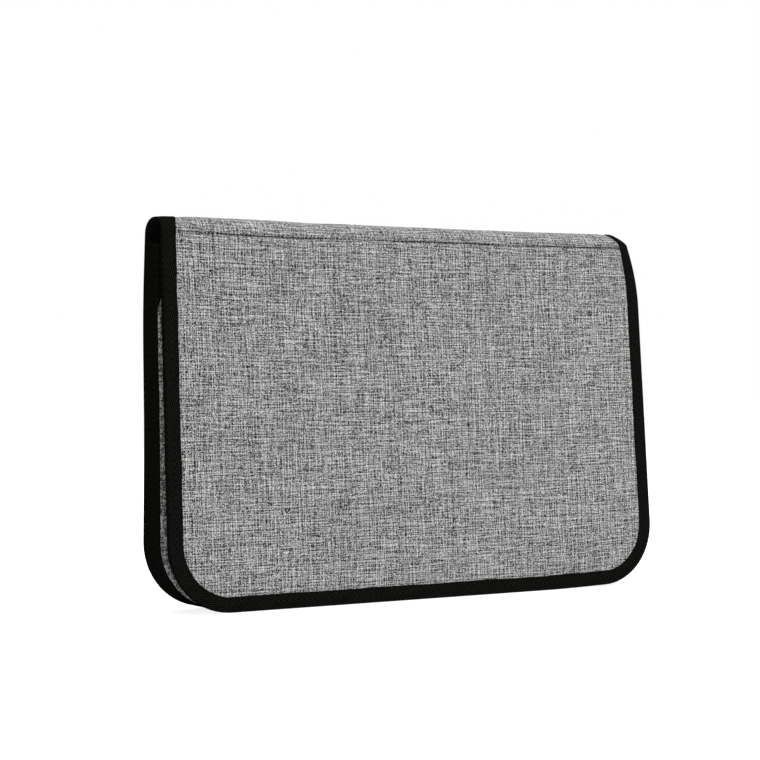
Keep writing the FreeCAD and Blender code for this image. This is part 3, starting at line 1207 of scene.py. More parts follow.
@dataclass
class PanelSkins:
    """Cover fabric, lining and padding of one half of the case."""

    form: CaseForm
    inset: float = 0.8 * MM
    cover_step: float = 3 * MM
    lining_step: float = 5 * MM
    pad_inset: float = 3 * MM
    pad_step: float = 12 * MM
    strip_step: float = 10 * MM
    fold_setback: float = 5 * MM
    foam_thickness: float = 1.5 * MM
    crease_seam: Seam = Seam(length=2.9 * MM, radius=0.42 * MM)
    seam_end: float = 9 * MM

    def cloth(self, kind: str, solid: str, step: float, finish: Finish, outer: Heights,
              inner: Heights) -> None:
        """Cloth from the top of the spine to the foot.

        Args:
            kind: What it is, for its name.
            solid: End of the names of the solids that it replaces.
            step: Distance between rows and between columns.
            finish: Finish of the cloth.
            outer: Height of its outer face at (u, v).
            inner: Height of its inner face at (u, v).
        """
        form, half = self.form, self.form.half
        rows = form.rows(self.inset, step=step)
        made = form.layer(f"{half.value}_{kind}_cloth", rows, step, self.inset, finish, outer, inner)
        form.bend(made)
        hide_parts(f"{half.value}_{solid}", f"spine_{solid}")
        long = form.arc + form.length - self.inset
        wide = form.width - 2 * self.inset
        area = wide * long - form.corner_loss(self.inset) - form.side_taper * long

    def crease(self) -> None:
        """Near-black thread along the crease, on the outside and on the lining, partly painted shade of the
        fold.
        """
        form = self.form
        end = form.end - self.seam_end
        path = np.column_stack([np.linspace(-end, end, 60), np.full(60, form.arc)])
        heights = {Face.OUTSIDE: lambda u, v: form.skin(u, form.arc) + form.thread_sink(u),
                   Face.INSIDE: lambda u, v: -form.level(u, v)}
        for face, height in heights.items():
            name = f"{form.half.value}_crease_stitches_{face.value}"
            form.bend(self.crease_seam.sew(name, form, path, face, height, CREASE_THREAD_AND_SHADE))

    def padding(self) -> None:
        """Stiffener and foam sheet of the panel, and this half of the foam strip in the spine."""
        form, half = self.form, self.form.half
        under = -form.tape - form.fabric
        deep = under - self.foam_thickness
        base = form.tape + form.lining - form.panel_thickness

        def capped(height: float) -> Heights:
            """A height that stays between the cloth and the lining."""
            return lambda u, v: np.maximum(height, form.level(u, v) + form.lining)

        def pad(name: str, rows: Array, step: float, finish: Finish, outer: float,
                inner: float) -> Piece:
            """A layer of padding between two heights; see CaseForm.layer."""
            return form.layer(name, rows, step, self.pad_inset, finish, capped(outer), capped(inner))

        rows = form.rows(self.pad_inset, form.arc + self.fold_setback, self.pad_step)
        foam = pad(f"{half.value}_foam_pad", rows, self.pad_step, FOAM, under, deep)
        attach(foam, half.body)
        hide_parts(f"{half.value}_foam_sheet")
        board = pad(f"{half.value}_stiffener_sheet", rows, self.pad_step, STIFFENER, deep, base)
        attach(board, half.body)
        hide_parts(f"{half.value}_stiffener")
        strip_rows = np.linspace(0.0, form.arc - self.fold_setback, 10)
        strip = pad(f"spine_foam_{half.value}", strip_rows, self.strip_step, FOAM, under, deep)
        form.bend(strip)
        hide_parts("spine_foam_strip")

    def build(self) -> None:
        """Makes every layer of this half."""
        form = self.form
        self.cloth("cover", "cover_fabric", self.cover_step, COVER_MELANGE, form.skin,
                   lambda u, v: form.skin(u, v) - form.fabric)
        self.crease()
        self.cloth("lining", "lining", self.lining_step, LIT_LINING_MELANGE,
                   lambda u, v: form.level(u, v) + form.lining, form.level)
        self.padding()


@dataclass
class Binding:
    """Tape folded round the edge of one half, from the top of the spine's left end to its right end."""

    form: CaseForm
    width: float = 10.4 * MM
    turn: float = 1.0 * MM
    bare_turn: float = 0.6 * MM
    turn_steps: int = 7
    least_hold: float = 0.03
    stitch_line: float = 8.8 * MM
    thread_sink: float = 0.1 * MM
    left_flare: float = 3.8 * MM
    flare_share: float = 0.8
    uneven: float = 0.14 * MM
    seam: Seam = Seam()

    def leg(self) -> Array:
        """Section of a leg's face, from its sewn edge to where it turns.

        Returns:
            Distance from the edge, and rise.
        """
        wide, line = self.width / MM, self.stitch_line / MM
        return MM * np.array([(wide, -0.35), (wide - 0.15, -0.1), (wide - 0.7, 0.0), (line + 0.45, -0.02),
                              (line, -0.16), (line - 0.45, 0.0), (6.4, 0.15), (5.0, 0.2), (3.6, 0.12)])

    def section(self, thick: Array, hold: Array) -> tuple[Array, Array, Array]:
        """Section of the tape at each place along the edge.

        Args:
            thick: Thickness of the edge that it covers.
            hold: Share of the inner leg that is there, from 0 to 1.

        Returns:
            Distance from the edge, height, and way round the tape, each with one row for each place.
        """
        leg, tape = self.leg(), self.form.tape
        turn = np.linspace(0.0, QUARTER, self.turn_steps)
        thick, hold = thick[:, None], np.clip(hold, self.least_hold, 1.0)[:, None]
        whole = np.ones_like(thick)
        inner = self.bare_turn + (self.turn - self.bare_turn) * hold
        round_out, round_in = np.minimum(self.turn, thick / 2), np.minimum(inner, thick / 2)
        kept = inner + (leg[::-1, 0] - self.turn) * hold
        lap = 1.2 * tape * whole
        distance = np.concatenate([leg[:, 0] * whole, self.turn * (1 - np.sin(turn)) * whole,
                                   inner * (1 - np.sin(turn[::-1])), kept, kept[:, -1:], lap, lap,
                                   self.width * whole], axis=1)
        height = np.concatenate([leg[:, 1] * whole, -round_out * (1 - np.cos(turn)),
                                 round_in * (1 - np.cos(turn[::-1])) - thick, -leg[::-1, 1] * hold - thick,
                                 tape - thick, tape - thick, -tape * whole, -tape * whole], axis=1)
        steps = np.hypot(np.diff(distance, axis=1), np.diff(height, axis=1))
        return distance, height, np.pad(np.cumsum(steps, axis=1), ((0, 0), (1, 0)))

    def flare(self, edge: Array) -> Array:
        """How much wider the legs are at the top of the spine's left end."""
        fade = 1.0 - ease(edge[:, 1] / (self.flare_share * self.form.arc))
        return self.left_flare * fade * (edge[:, 0] < 0)

    def tape(self) -> None:
        """The folded tape itself."""
        form, half = self.form, self.form.half
        edge, inward = form.outline()
        # On the rear, the inner leg's tail over the rim is painted shade.
        hold = form.tape_share(edge[:, 1]) if half is Half.REAR else np.ones(len(edge))
        distance, height, way = self.section(form.depth(*edge.T), hold)
        reach = run_length(edge)
        hand = self.uneven * (np.sin(reach * 190.0) + np.sin(reach * 77.0 + 1.0))
        share = np.clip((distance - self.turn) / (self.width - self.turn), 0.0, 1.0)
        sewn = distance + hand[:, None] * (distance > self.width - 1 * MM) + self.flare(edge)[:, None] * share
        u, v = (edge[:, axis, None] + inward[:, axis, None] * sewn for axis in (0, 1))
        points = form.place(u, np.maximum(v, 0.0), height)
        along = np.broadcast_to((reach * -half.outward)[:, None], way.shape)
        flat = np.stack([along, way, np.zeros_like(way)], axis=-1)
        made = Maker.piece(f"{half.value}_binding_tape", points, Maker.tube(*way.shape), BINDING_TAPE, flat)
        form.bend(made)
        solids = ["spine_binding_left"] if half is Half.FRONT else ["spine_binding_right", "rear_rim_band"]
        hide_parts(f"{half.value}_binding", *solids)

    def stitches(self) -> None:
        """Thread along both legs of the tape, or along the outer leg on the rear half."""
        form, half = self.form, self.form.half
        edge, inward = form.outline()
        share = (self.stitch_line - self.turn) / (self.width - self.turn)
        path = edge + inward * (self.stitch_line + share * self.flare(edge))[:, None]
        path[:, 1] = np.maximum(path[:, 1], 0.0)
        heights = {Face.OUTSIDE: lambda u, v: -self.thread_sink}
        if half is Half.FRONT:
            heights[Face.INSIDE] = lambda u, v: form.tape - form.level(u, v) - self.thread_sink
        for face, height in heights.items():
            name = f"{half.value}_binding_stitches_{face.value}"
            form.bend(self.seam.sew(name, form, path, face, height, BLACK_THREAD))

    def build(self) -> None:
        """Makes the tape and its stitches."""
        self.tape()
        self.stitches()


@dataclass
class RearRim:
    """Padded rim along the sides and the foot of the rear panel, covered with lining."""

    form: CaseForm
    crown: float = 0.25 * MM
    edge_round: float = 1.2 * MM
    top_gap: float = 1.8 * MM
    tape_room: float = 0.5 * MM
    outer: float = 1.0 * MM
    tuck: float = 0.06 * MM
    outer_fall: float = 3.0 * MM
    inner_fall: float = 5.0 * MM
    inner_swell: float = 0.1 * MM

    def section(self, thick: Array, taped: Array) -> tuple[Array, Array]:
        """Closed section of the rim at each place along the edge.

        Args:
            thick: Depth of the rim's front face.
            taped: Share of the tape's inner leg that lies on the front face, there as painted shade.

        Returns:
            Distance from the edge and height, with one row for each place.
        """
        wide, turn, outer = self.form.rim_width, self.edge_round, self.outer
        corner = np.linspace(0.0, QUARTER, 5)[1:]
        away = [outer, outer, *np.linspace(outer, wide - turn, 9), *(wide - turn + turn * np.sin(corner)),
                wide + self.inner_swell, wide]
        face = self.tuck - self.crown * np.sin(np.linspace(0.0, math.pi, 9))
        fall = [0.0, self.outer_fall, *face, *(self.tuck + turn * (1 - np.cos(corner))), self.inner_fall, 0.0]
        height = np.array(fall) - thick[:, None] + self.tape_room * taped[:, None]
        height[:, [0, -1]] = self.form.tape - self.form.panel_thickness
        return np.broadcast_to(away, height.shape), height

    def build(self) -> None:
        """Makes the rim as one padded piece."""
        form = self.form
        edge, inward = form.outline()
        keep = edge[:, 1] > form.arc + form.rim_drop + self.top_gap
        edge, inward = edge[keep], inward[keep]
        # The rim makes room for the tape's inner leg, whose tail on it is painted shade.
        distance, height = self.section(form.depth(*edge.T), form.tape_share(edge[:, 1]))
        u, v = (edge[:, axis, None] + inward[:, axis, None] * distance for axis in (0, 1))
        way = run_length(np.column_stack([distance[0], height[0]]))
        flat = np.stack([*np.meshgrid(run_length(edge), way, indexing="ij"), np.zeros_like(u)], axis=-1)
        points, faces = form.place(u, v, height), Maker.tube(*height.shape)
        made = Maker.piece("rear_rim_pad", points, faces, LIT_LINING_MELANGE, flat)
        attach(made, Half.REAR.body)
        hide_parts("rear_rim")


@dataclass
class Pocket:
    """Flat document pocket on the lining of the front panel, with a taped mouth."""

    form: CaseForm
    inset: float = 14 * MM
    mouth_drop: float = 52 * MM
    cloth: float = 0.8 * MM
    under: float = 0.05 * MM
    slack: float = 0.9 * MM
    slack_fade: float = 70 * MM
    hem_width: float = 12 * MM
    hem_over: float = 0.6 * MM
    hem: float = 0.6 * MM
    row_step: float = 6 * MM
    column_step: float = 5 * MM
    seam_inset: float = 3 * MM
    hem_seam_inset: float = 2 * MM
    seam: Seam = Seam()

    @property
    def mouth(self) -> float:
        """Place of the mouth down the cut."""
        return self.form.arc + self.mouth_drop

    def lift(self, u: Array, v: Array) -> Array:
        """How far the pocket's back stands off the lining, which is most at the middle of its mouth."""
        share = np.clip(1 - (u / (self.form.end - self.inset)) ** 2, 0.0, 1.0)
        return self.slack * share * np.exp(-np.maximum(v - self.mouth, 0.0) / self.slack_fade)

    def above(self, off: float) -> Heights:
        """Height at that distance over the pocket's back, towards the inside of the case."""
        return lambda u, v: self.form.level(u, v) - self.lift(u, v) - off

    def band(self, name: str, rows: Array, finish: Finish, near: float, far: float) -> Piece:
        """A layer of the pocket on the front cover.

        Args:
            name: Name of the piece.
            rows: Places down the cut.
            finish: Finish of the layer.
            near: Distance of its outer-case face over the pocket's back.
            far: Distance of its inner-case face.

        Returns:
            The piece.
        """
        outer, inner = self.above(near), self.above(far)
        made = self.form.layer(name, rows, self.column_step, self.inset, finish, outer, inner)
        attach(made, Half.FRONT.body)
        return made

    def build(self) -> None:
        """Makes the pocket cloth, its hem and its stitches."""
        form, hem_end = self.form, self.mouth + self.hem_width
        rows = form.rows(self.inset, self.mouth, self.row_step)
        cloth = self.band("pocket_cloth", rows, LIT_LINING_MELANGE, self.under, self.cloth)
        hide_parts("pocket_panel")
        wide = form.width - 2 * self.inset
        long = form.length - self.inset - self.mouth_drop
        area = wide * long - form.corner_loss(self.inset)
        hem_rows = np.linspace(self.mouth - self.hem_over, hem_end, 9)
        hem = self.band("pocket_hem_tape", hem_rows, BINDING_TAPE, self.cloth, self.cloth + self.hem)
        inside = self.inset + self.seam_inset
        sides = form.rows(inside, hem_end, self.row_step)
        left = np.column_stack([-form.edge(sides, inside), sides])
        around = np.concatenate([left, left[::-1] * (-1.0, 1.0)])
        low = np.full(40, hem_end - self.hem_seam_inset)
        across = np.column_stack([np.linspace(left[0, 0], -left[0, 0], low.size), low])
        for name, path, off in (("pocket_edge_stitches", around, self.cloth),
                                ("pocket_hem_stitches", across, self.cloth + self.hem)):
            face = self.above(off)
            row = self.seam.sew(name, form, path, Face.INSIDE, lambda u, v: -face(u, v), BLACK_THREAD)
            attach(row, Half.FRONT.body)


@dataclass
class MarkerLoops:
    """Elastic loops sewn under the top of the spine.

    Attributes:
        profile: Share of the half width and tuck, in millimetres, across a loop's face.
    """

    form: CaseForm
    inner_radius: float = 5.3 * MM
    thickness: float = 1.0 * MM
    width: float = 14 * MM
    foot: float = 7 * MM
    foot_crown: float = 0.75 * MM
    steps: int = 40
    foot_steps: int = 9
    profile: tuple[tuple[float, float], ...] = ((-1.0, 0.12), (-0.97, 0.0), (-0.5, -0.02), (0.0, 0.0),
                                                (0.5, -0.02), (0.97, 0.0), (1.0, 0.12))

    def section(self) -> tuple[Array, Array]:
        """Section of a loop round its marker.

        Returns:
            Points (y, z) of the outer face, and of the inner face at the same angles.
        """
        axis = np.array(middle_of("marker_left_barrel")[1:])
        outer = self.inner_radius + self.thickness
        from_foot = math.asin(self.foot / 2 / outer)
        angles = np.linspace(from_foot, 2 * math.pi - from_foot, self.steps)
        ring = axis + outer * np.column_stack([np.sin(angles), np.cos(angles)])
        seat = self.form.crease_height + self.form.spine_radius - self.form.spine_thickness + self.form.tape
        share = np.linspace(-1.0, 1.0, self.foot_steps)
        sole = np.column_stack([axis[0] + share * self.foot / 2, seat - self.foot_crown * share ** 2])
        face = np.roll(np.concatenate([ring, sole]), self.foot_steps // 2, axis=0)
        return face, axis + self.inner_radius * unit(face - axis)

    def middles(self) -> list[float]:
        """Places of the loops, read from the frame's loops.

        Returns:
            X of the middle of each loop.
        """
        places = np.array([corner.co.x for corner in frame["nodes"]["marker_loops"].data.vertices])
        edges = np.unique(np.round(places, 4))
        return [float((start + end) / 2) for start, end in zip(edges[::2], edges[1::2])]

    def band(self, name: str, middle: float, outer: Array, hole: Array) -> None:
        """One loop round a marker.

        Args:
            name: Name of the piece.
            middle: X of its middle.
            outer: Points (y, z) of its outer face.
            hole: Points (y, z) of its inner face.
        """
        rows, flats = [], []
        for face, profile, grow in ((outer, self.profile, -MM), (hole, self.profile[::-1], MM)):
            away, ways = unit(face - face.mean(axis=0)), run_length(face)
            for share, tuck in profile:
                off = np.full(len(face), share * self.width / 2)
                rows.append(np.column_stack([middle + off, face + away * grow * tuck]))
                flats.append(np.column_stack([ways, off, np.zeros(len(face))]))
        made = Maker.piece(name, np.stack(rows), Maker.hoop(len(rows), len(outer)), ELASTIC, np.stack(flats))
        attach(made, "spine")
        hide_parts("marker_loops")

    def build(self) -> None:
        """Makes one band at each loop of the frame."""
        faces = self.section()
        for number, middle in enumerate(self.middles(), start=1):
            self.band(f"marker_loop_{number}", middle, *faces)


@dataclass
class WritingBoard:
    """Magnetic board on the rear panel, with a printed court.

    Attributes:
        lip: Width of the trim's lip at the board's ends and at its long sides.
        margin: Distance of the court's edge line from the lip.
        line: Width of a line.
        dot: Radius of a dot's middle line, which is twice as wide.
        print_rise: Thickness of the print.
        print_sink: How far the print reaches into the film.
        print_room: Room for the print under the magnets.
        corner: Radius of the court's corners.
        circle: Radius of the centre circle.
        area_in: Distance of the goal areas' middles from the court's ends.
        lane_in: Distance of the rows of dots from the court's long sides.
        area: Half sizes and corner radius of a goal area.
        goal: Half sizes and corner radius of a goal.
        goal_shift: Distance of a goal's middle from its area's.
    """

    lip: tuple[float, float] = (6 * MM, 4 * MM)
    margin: float = 9 * MM
    line: float = 1.6 * MM
    dot: float = 1.2 * MM
    print_rise: float = 0.03 * MM
    print_sink: float = 0.01 * MM
    print_room: float = 0.05 * MM
    corner: float = 22 * MM
    circle: float = 24 * MM
    area_in: float = 34 * MM
    lane_in: float = 20 * MM
    area: tuple[float, float, float] = (22 * MM, 30 * MM, 2 * MM)
    goal: tuple[float, float, float] = (5 * MM, 12 * MM, 1.5 * MM)
    goal_shift: float = 2 * MM

    def film(self) -> None:
        """Lays the writing film just under the magnets, so that they slide clear of its print."""
        solid = frame["nodes"]["board_writing_film"].data
        points = np.array([corner.co for corner in solid.vertices])
        front = points[:, 1] < points[:, 1].min() + self.print_room
        points[front, 1] += self.print_room
        faces = [tuple(face.vertices) for face in solid.polygons]
        made = Maker.piece("board_film_sheet", points, faces, WRITING_FILM)
        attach(made, "rear")
        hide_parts("board_writing_film")

    def ribbon(self, path: Array, width: float, closed: bool = True) -> tuple[Array, Faces]:
        """A printed line along points (x, z) of the film.

        Args:
            path: Points of the line's middle.
            width: Width of the line.
            closed: True where it ends where it starts.

        Returns:
            Points and faces of a thin closed strip.
        """
        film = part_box("board_writing_film")[0].y + self.print_room
        around = np.roll(path, -1, axis=0) - np.roll(path, 1, axis=0)
        ahead = unit(around if closed else np.gradient(path, axis=0))
        aside = np.column_stack([-ahead[:, 1], ahead[:, 0]]) * width / 2
        low, high = film + self.print_sink, film - self.print_rise
        corners = []
        for side, y in ((-1, low), (1, low), (1, high), (-1, high)):
            x, z = (path + side * aside).T
            corners.append(np.column_stack([x, np.full(len(path), y), z]))
        points = np.stack(corners, axis=1).reshape(-1, 3)
        if closed:
            return np.concatenate([points, points[:4]]), Maker.grid_faces(len(path) + 1, 4, wrap=True)
        return points, Maker.tube(len(path), 4)

    @staticmethod
    def rounded(half_x: float, half_z: float, radius: float, x: float, z: float) -> Array:
        """A rectangle with round corners.

        Args:
            half_x: Half of its width.
            half_z: Half of its height.
            radius: Radius of its corners.
            x: X of its middle.
            z: Z of its middle.

        Returns:
            Points (x, z) round it.
        """
        points = []
        for corner, (right, up) in enumerate(((1, 1), (-1, 1), (-1, -1), (1, -1))):
            angles = np.linspace(0, QUARTER, 10) + corner * QUARTER
            points.append(np.column_stack([x + right * (half_x - radius) + radius * np.cos(angles),
                                           z + up * (half_z - radius) + radius * np.sin(angles)]))
        return np.concatenate(points)

    def court(self) -> None:
        """Prints the court: edge line, centre line, circle and dots in one ink, goal areas in another."""
        low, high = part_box("board_writing_film")
        middle = (low.z + high.z) / 2
        half_x = high.x - self.lip[0] - self.margin
        half_z = (high.z - low.z) / 2 - self.lip[1] - self.margin
        area_x, lane = half_x - self.area_in, half_z - self.lane_in
        centre = np.column_stack([np.zeros(8), np.linspace(middle - half_z, middle + half_z, 8)])
        lines = [self.ribbon(self.rounded(half_x, half_z, self.corner, 0.0, middle), self.line),
                 self.ribbon(centre, self.line, closed=False),
                 self.ribbon(circle(self.circle, 0.0, middle, 64), self.line)]
        for x, z in ((0, 0), (-1, -1), (0, -1), (-1, 1), (0, 1), (1, -1), (1, 1)):
            lines.append(self.ribbon(circle(self.dot, x * area_x, middle + z * lane, 64), 2 * self.dot))
        goals = []
        for side in (-1, 1):
            goals.append(self.ribbon(self.rounded(*self.area, side * area_x, middle), self.line))
            goal_x = side * (area_x - self.goal_shift)
            goals.append(self.ribbon(self.rounded(*self.goal, goal_x, middle), self.line))
        for name, strips, finish in (("court_lines", lines, COURT_INK), ("goal_areas", goals, GOAL_INK)):
            faces, first = [], 0
            for points, quads in strips:
                faces += [tuple(number + first for number in quad) for quad in quads]
                first += len(points)
            made = Maker.piece(name, np.concatenate([points for points, quads in strips]), faces, finish)
            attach(made, "rear")

    def build(self) -> None:
        """Dresses the board and prints its court."""
        dress_nodes({"board_core": FIBRE_BOARD, "board_steel_sheet": COATED_STEEL,
                     "board_edge_trim": EDGE_TRIM})
        self.film()
        self.court()


@dataclass
class Markers:
    """The two dry-wipe markers in the spine, with a coloured band on the barrel and ribs on the cap."""

    band_in: float = 26 * MM
    band_width: float = 9 * MM
    band_rise: float = 0.06 * MM
    sink: float = 0.05 * MM
    rib_count: int = 5
    rib_first: float = 3.0 * MM
    rib_pitch: float = 1.8 * MM
    rib_half: float = 0.45 * MM
    rib_crown: float = 0.18 * MM
    shoulder_rise: float = 0.12 * MM
    shoulder_share: float = 0.6

    @staticmethod
    def lathe(name: str, node: str, body: str, section: Sequence[tuple[float, float]],
              finish: Finish) -> None:
        """A ring turned about the axis of a marker's piece.

        Args:
            name: Name of the ring.
            node: The piece that it is on.
            body: Body that carries it.
            section: Closed section of the ring, as x and height over the piece.
            finish: Finish of the ring.
        """
        low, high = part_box(node)
        centre = middle_of(node)[1:]
        rings = []
        for x, rise in section:
            y, z = circle((high.z - low.z) / 2 + rise, *centre, 48).T
            rings.append(np.column_stack([np.full(y.size, x), y, z]))
        faces = Maker.hoop(len(rings), len(rings[0]))
        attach(Maker.piece(name, np.stack(rings), faces, finish), body)

    def band(self, side: Side) -> None:
        """Coloured band round a marker's barrel, near its cap.

        Args:
            side: Side of the marker.
        """
        body = f"marker_{side.value}"
        barrel = body + "_barrel"
        outer = max(abs(corner.x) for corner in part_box(barrel)) - self.band_in
        start, end = side.sign * outer, side.sign * (outer - self.band_width)
        section = [(start, -self.sink), (start, self.band_rise), (end, self.band_rise), (end, -self.sink)]
        self.lathe(body + "_band", barrel, body, section, MARKER_INK[side])

    def ribs(self, side: Side) -> None:
        """Grip ribs round the mouth of a marker's cap.

        Args:
            side: Side of the marker.
        """
        cap = f"marker_{side.value}_cap"
        mouth = min(abs(corner.x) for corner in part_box(cap))
        half, near = self.rib_half, self.rib_half * self.shoulder_share
        profile = ((-half, -self.sink), (-near, self.shoulder_rise), (0.0, self.rib_crown),
                   (near, self.shoulder_rise), (half, -self.sink))
        for number in range(self.rib_count):
            x = side.sign * (mouth + self.rib_first + number * self.rib_pitch)
            section = [(x + off, rise) for off, rise in profile]
            self.lathe(f"{cap}_rib_{number + 1}", cap, cap, section, MARKER_INK[side])

    def build(self) -> None:
        """Dresses both markers and adds the coloured band and the ribs of the cap."""
        for side in Side:
            ink = MARKER_INK[side]
            finishes = {"barrel": BARREL_WHITE, "end_plug": ink, "nib_holder": NIB_HOLDER, "nib": FELT,
                        "cap": ink, "cap_eraser": FELT}
            dress_nodes({f"marker_{side.value}_{part}": finish for part, finish in finishes.items()})
            self.band(side)
            self.ribs(side)


@dataclass
class PlayerDiscs:
    """Numbered magnets of both teams and the ball."""

    players: int = 6
    figure_size: float = 14.85 * MM
    print_rise: float = 0.05 * MM
    hole_radius: float = 0.75 * MM
    hole_ring: float = 2.7 * MM
    hole_sink: float = 0.02 * MM
    hole_rise: float = 0.03 * MM

    def figure_mesh(self, name: str, figure: str) -> tuple[Array, Faces]:
        """Points and faces of a plain figure that lies in X and Y.

        Args:
            name: Name of the piece that it is for.
            figure: The figure.

        Returns:
            Its points and its faces.
        """
        curve = bpy.data.curves.new(name + "_curve", "FONT")
        curve.body = figure
        curve.size = self.figure_size
        curve.align_x = curve.align_y = "CENTER"
        curve.extrude = self.print_rise
        curve.resolution_u = 6
        text = bpy.data.objects.new(name + "_text", curve)
        bpy.context.scene.collection.objects.link(text)
        bpy.context.view_layer.update()
        mesh = bpy.data.meshes.new_from_object(text.evaluated_get(bpy.context.evaluated_depsgraph_get()))
        points = np.array([corner.co for corner in mesh.vertices])
        faces = [tuple(face.vertices) for face in mesh.polygons]
        bpy.data.objects.remove(text)
        bpy.data.meshes.remove(mesh)
        return points, faces

    def number(self, body: str, figure: str) -> None:
        """Prints a plain figure on the face of a disc.

        Args:
            body: Body of the disc.
            figure: The figure.
        """
        name, shell = body + "_figure", body + "_shell"
        points, faces = self.figure_mesh(name, figure)
        across, up, out = (points - (points.max(axis=0) + points.min(axis=0)) / 2 * (1.0, 1.0, 0.0)).T
        x, _, z = middle_of(shell)
        placed = np.column_stack([across + x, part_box(shell)[0].y - out, up + z])
        made = Maker.piece(name, placed, faces, NUMBER_INK)
        made.data.polygons.foreach_set("use_smooth", [False] * len(made.data.polygons))
        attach(made, body)

    def ball(self) -> None:
        """Dresses the ball and marks its round holes."""
        dress_nodes({"ball_magnet": BALL_WHITE})
        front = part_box("ball_magnet")[0].y
        x, _, z = middle_of("ball_magnet")
        rings, faces = [], []
        for hole_x, hole_z in ((x, z), *circle(self.hole_ring, x, z, 6)):
            rim = circle(self.hole_radius, hole_x, hole_z, 20)
            faces += Maker.tube(2, len(rim), len(rings) * len(rim))
            rings += [np.insert(rim, 1, y, axis=1) for y in (front + self.hole_sink, front - self.hole_rise)]
        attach(Maker.piece("ball_holes", np.stack(rings), faces, BALL_HOLE), "ball")

    def build(self) -> None:
        """Dresses every disc, prints its figure and finishes the ball."""
        for team in Team:
            for figure in range(1, self.players + 1):
                body = f"{team.value}_{figure}"
                dress_nodes({body + "_shell": DISC_PLASTIC[team], body + "_magnet": FERRITE})
                self.number(body, str(figure))
        self.ball()


@dataclass(frozen=True)
class Lamp:
    """A square soft box aimed at the middle of the case, with its power in watts."""

    name: str
    place: tuple[float, float, float]
    size: float
    power: float
    aim: tuple[float, float, float] = (0.0, 0.0, 0.14)

    def build(self) -> None:
        """Sets the lamp up."""
        data = bpy.data.lights.new(self.name, "AREA")
        data.shape = "SQUARE"
        data.size = self.size
        data.energy = self.power
        made = bpy.data.objects.new(self.name, data)
        made.location = self.place
        way = Vector(self.aim) - Vector(self.place)
        made.rotation_euler = way.to_track_quat("-Z", "Y").to_euler()
        bpy.context.scene.collection.objects.link(made)


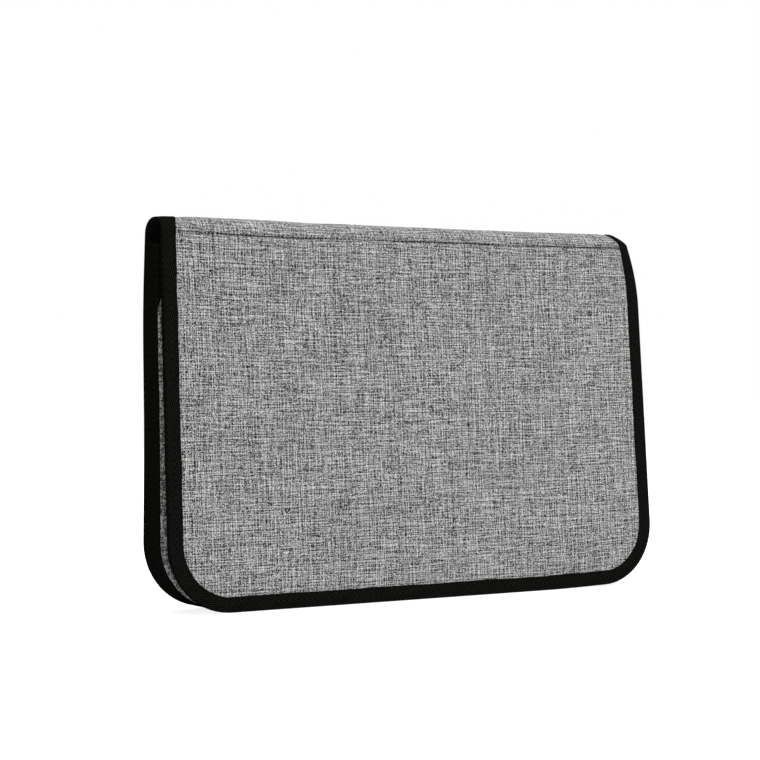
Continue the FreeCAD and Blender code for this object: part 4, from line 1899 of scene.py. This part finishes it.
@dataclass
class Stage:
    """Pale floor, soft lights and the camera.

    Attributes:
        camera_place: Place of the camera.
        yaw: Turn of the view from +Y towards +X, in degrees.
        pitch: Tilt of the view over the horizon, in degrees.
        lens: Focal length on a 36 mm frame, in millimetres.
        ambient: Strength of the light from all round.
        floor_glow: Light that the camera sees on the floor beside what it reflects.
        glow_near: Distance up to which the floor has that glow.
        glow_far: Distance from which it glows in full.
        floor_half: Half of the floor's side.
        lamps: The soft boxes.
    """

    camera_place: tuple[float, float, float] = (-0.82034, -1.23252, 0.16164)
    yaw: float = 32.727
    pitch: float = -0.35
    lens: float = 99.55
    ambient: float = 0.08
    floor_glow: float = 0.85
    glow_near: float = 0.35
    glow_far: float = 0.9
    floor_half: float = 6.0
    lamps: tuple[Lamp, ...] = (
        Lamp("key", (0.75, -1.9, 0.3), 1.5, 23.8), Lamp("fill", (-0.95, -1.45, 0.2), 0.6, 4.5),
        Lamp("top", (0.1, -0.15, 1.9), 1.6, 29.0), Lamp("back", (0.2, 2.1, 1.3), 1.5, 16.0))

    def camera(self) -> None:
        """Makes the camera of the view."""
        data = bpy.data.cameras.new("camera")
        data.lens = self.lens
        data.sensor_width = 36.0
        data.clip_start = 0.05
        data.clip_end = 50.0
        made = bpy.data.objects.new("camera", data)
        made.location = self.camera_place
        made.rotation_euler = (math.radians(90.0 + self.pitch), 0.0, math.radians(-self.yaw))
        bpy.context.scene.collection.objects.link(made)
        bpy.context.scene.camera = made

    @staticmethod
    def seen(graph: Graph) -> Socket:
        """Rays that show the background.

        Args:
            graph: Node tree of the world.

        Returns:
            1 for rays straight from the camera, and for those that mirror or pass the background to it.
        """
        path = graph.node("LightPath").outputs
        sent = graph.math("MAXIMUM", path["Is Glossy Ray"], path["Is Transmission Ray"])
        return graph.math("MAXIMUM", path["Is Camera Ray"], sent)

    def world(self) -> None:
        """White behind the object, and a low even light from all round."""
        world = bpy.data.worlds.new("studio")
        world.use_nodes = True
        world.node_tree.nodes.clear()
        graph = Graph(world.node_tree)
        soft, white = (graph.node("Background", grey(1.0), strength).outputs[0]
                       for strength in (self.ambient, 1.0))
        graph.node("OutputWorld", graph.node("MixShader", self.seen(graph), soft, white).outputs[0])
        bpy.context.scene.world = world

    def floor(self) -> None:
        """A pale floor that keeps the object's shadow."""
        mesh = bpy.data.meshes.new("floor")
        reach = self.floor_half
        corners = [(-reach, -reach, 0.0), (reach, -reach, 0.0), (reach, reach, 0.0), (-reach, reach, 0.0)]
        mesh.from_pydata(corners, [], [(0, 1, 2, 3)])
        made = bpy.data.objects.new("floor", mesh)
        bpy.context.scene.collection.objects.link(made)
        paint = bpy.data.materials.new("floor_paint")
        paint.use_nodes = True
        graph = Graph(paint.node_tree)
        place = Finish.solid_place(graph)
        away = graph.node("VectorMath", place, operation="LENGTH").outputs[1]
        glow = graph.remap(away, self.glow_near, self.glow_far, self.floor_glow, 1.0)
        graph.fill(paint.node_tree.nodes["Principled BSDF"],
                   Base_Color=graph.blend(graph.level(place, 3.0), grey(0.8), grey(0.84)), Roughness=0.9,
                   Specular_IOR_Level=0.0, Emission_Color=grey(1.0),
                   Emission_Strength=graph.math("MULTIPLY", self.seen(graph), glow))
        mesh.materials.append(paint)

    def build(self) -> None:
        """Sets the whole stage."""
        bpy.context.scene.view_settings.view_transform = "Standard"
        self.camera()
        self.world()
        self.floor()
        for lamp in self.lamps:
            lamp.build()


def main() -> None:
    """Builds the case, what it holds and the stage, in that order."""
    logging.basicConfig(level=logging.INFO, format="%(name)s: %(message)s")
    front, rear = (CaseForm(half) for half in Half)
    assemblies = (PanelSkins(front), Binding(front), PanelSkins(rear), Binding(rear), RearRim(rear),
                  Pocket(front), MarkerLoops(rear), WritingBoard(), Markers(), PlayerDiscs(), Stage())
    for assembly in assemblies:
        assembly.build()
        LOG.info("finished %s", type(assembly).__name__)
    bpy.context.view_layer.update()


if __name__ == "__main__":
    main()
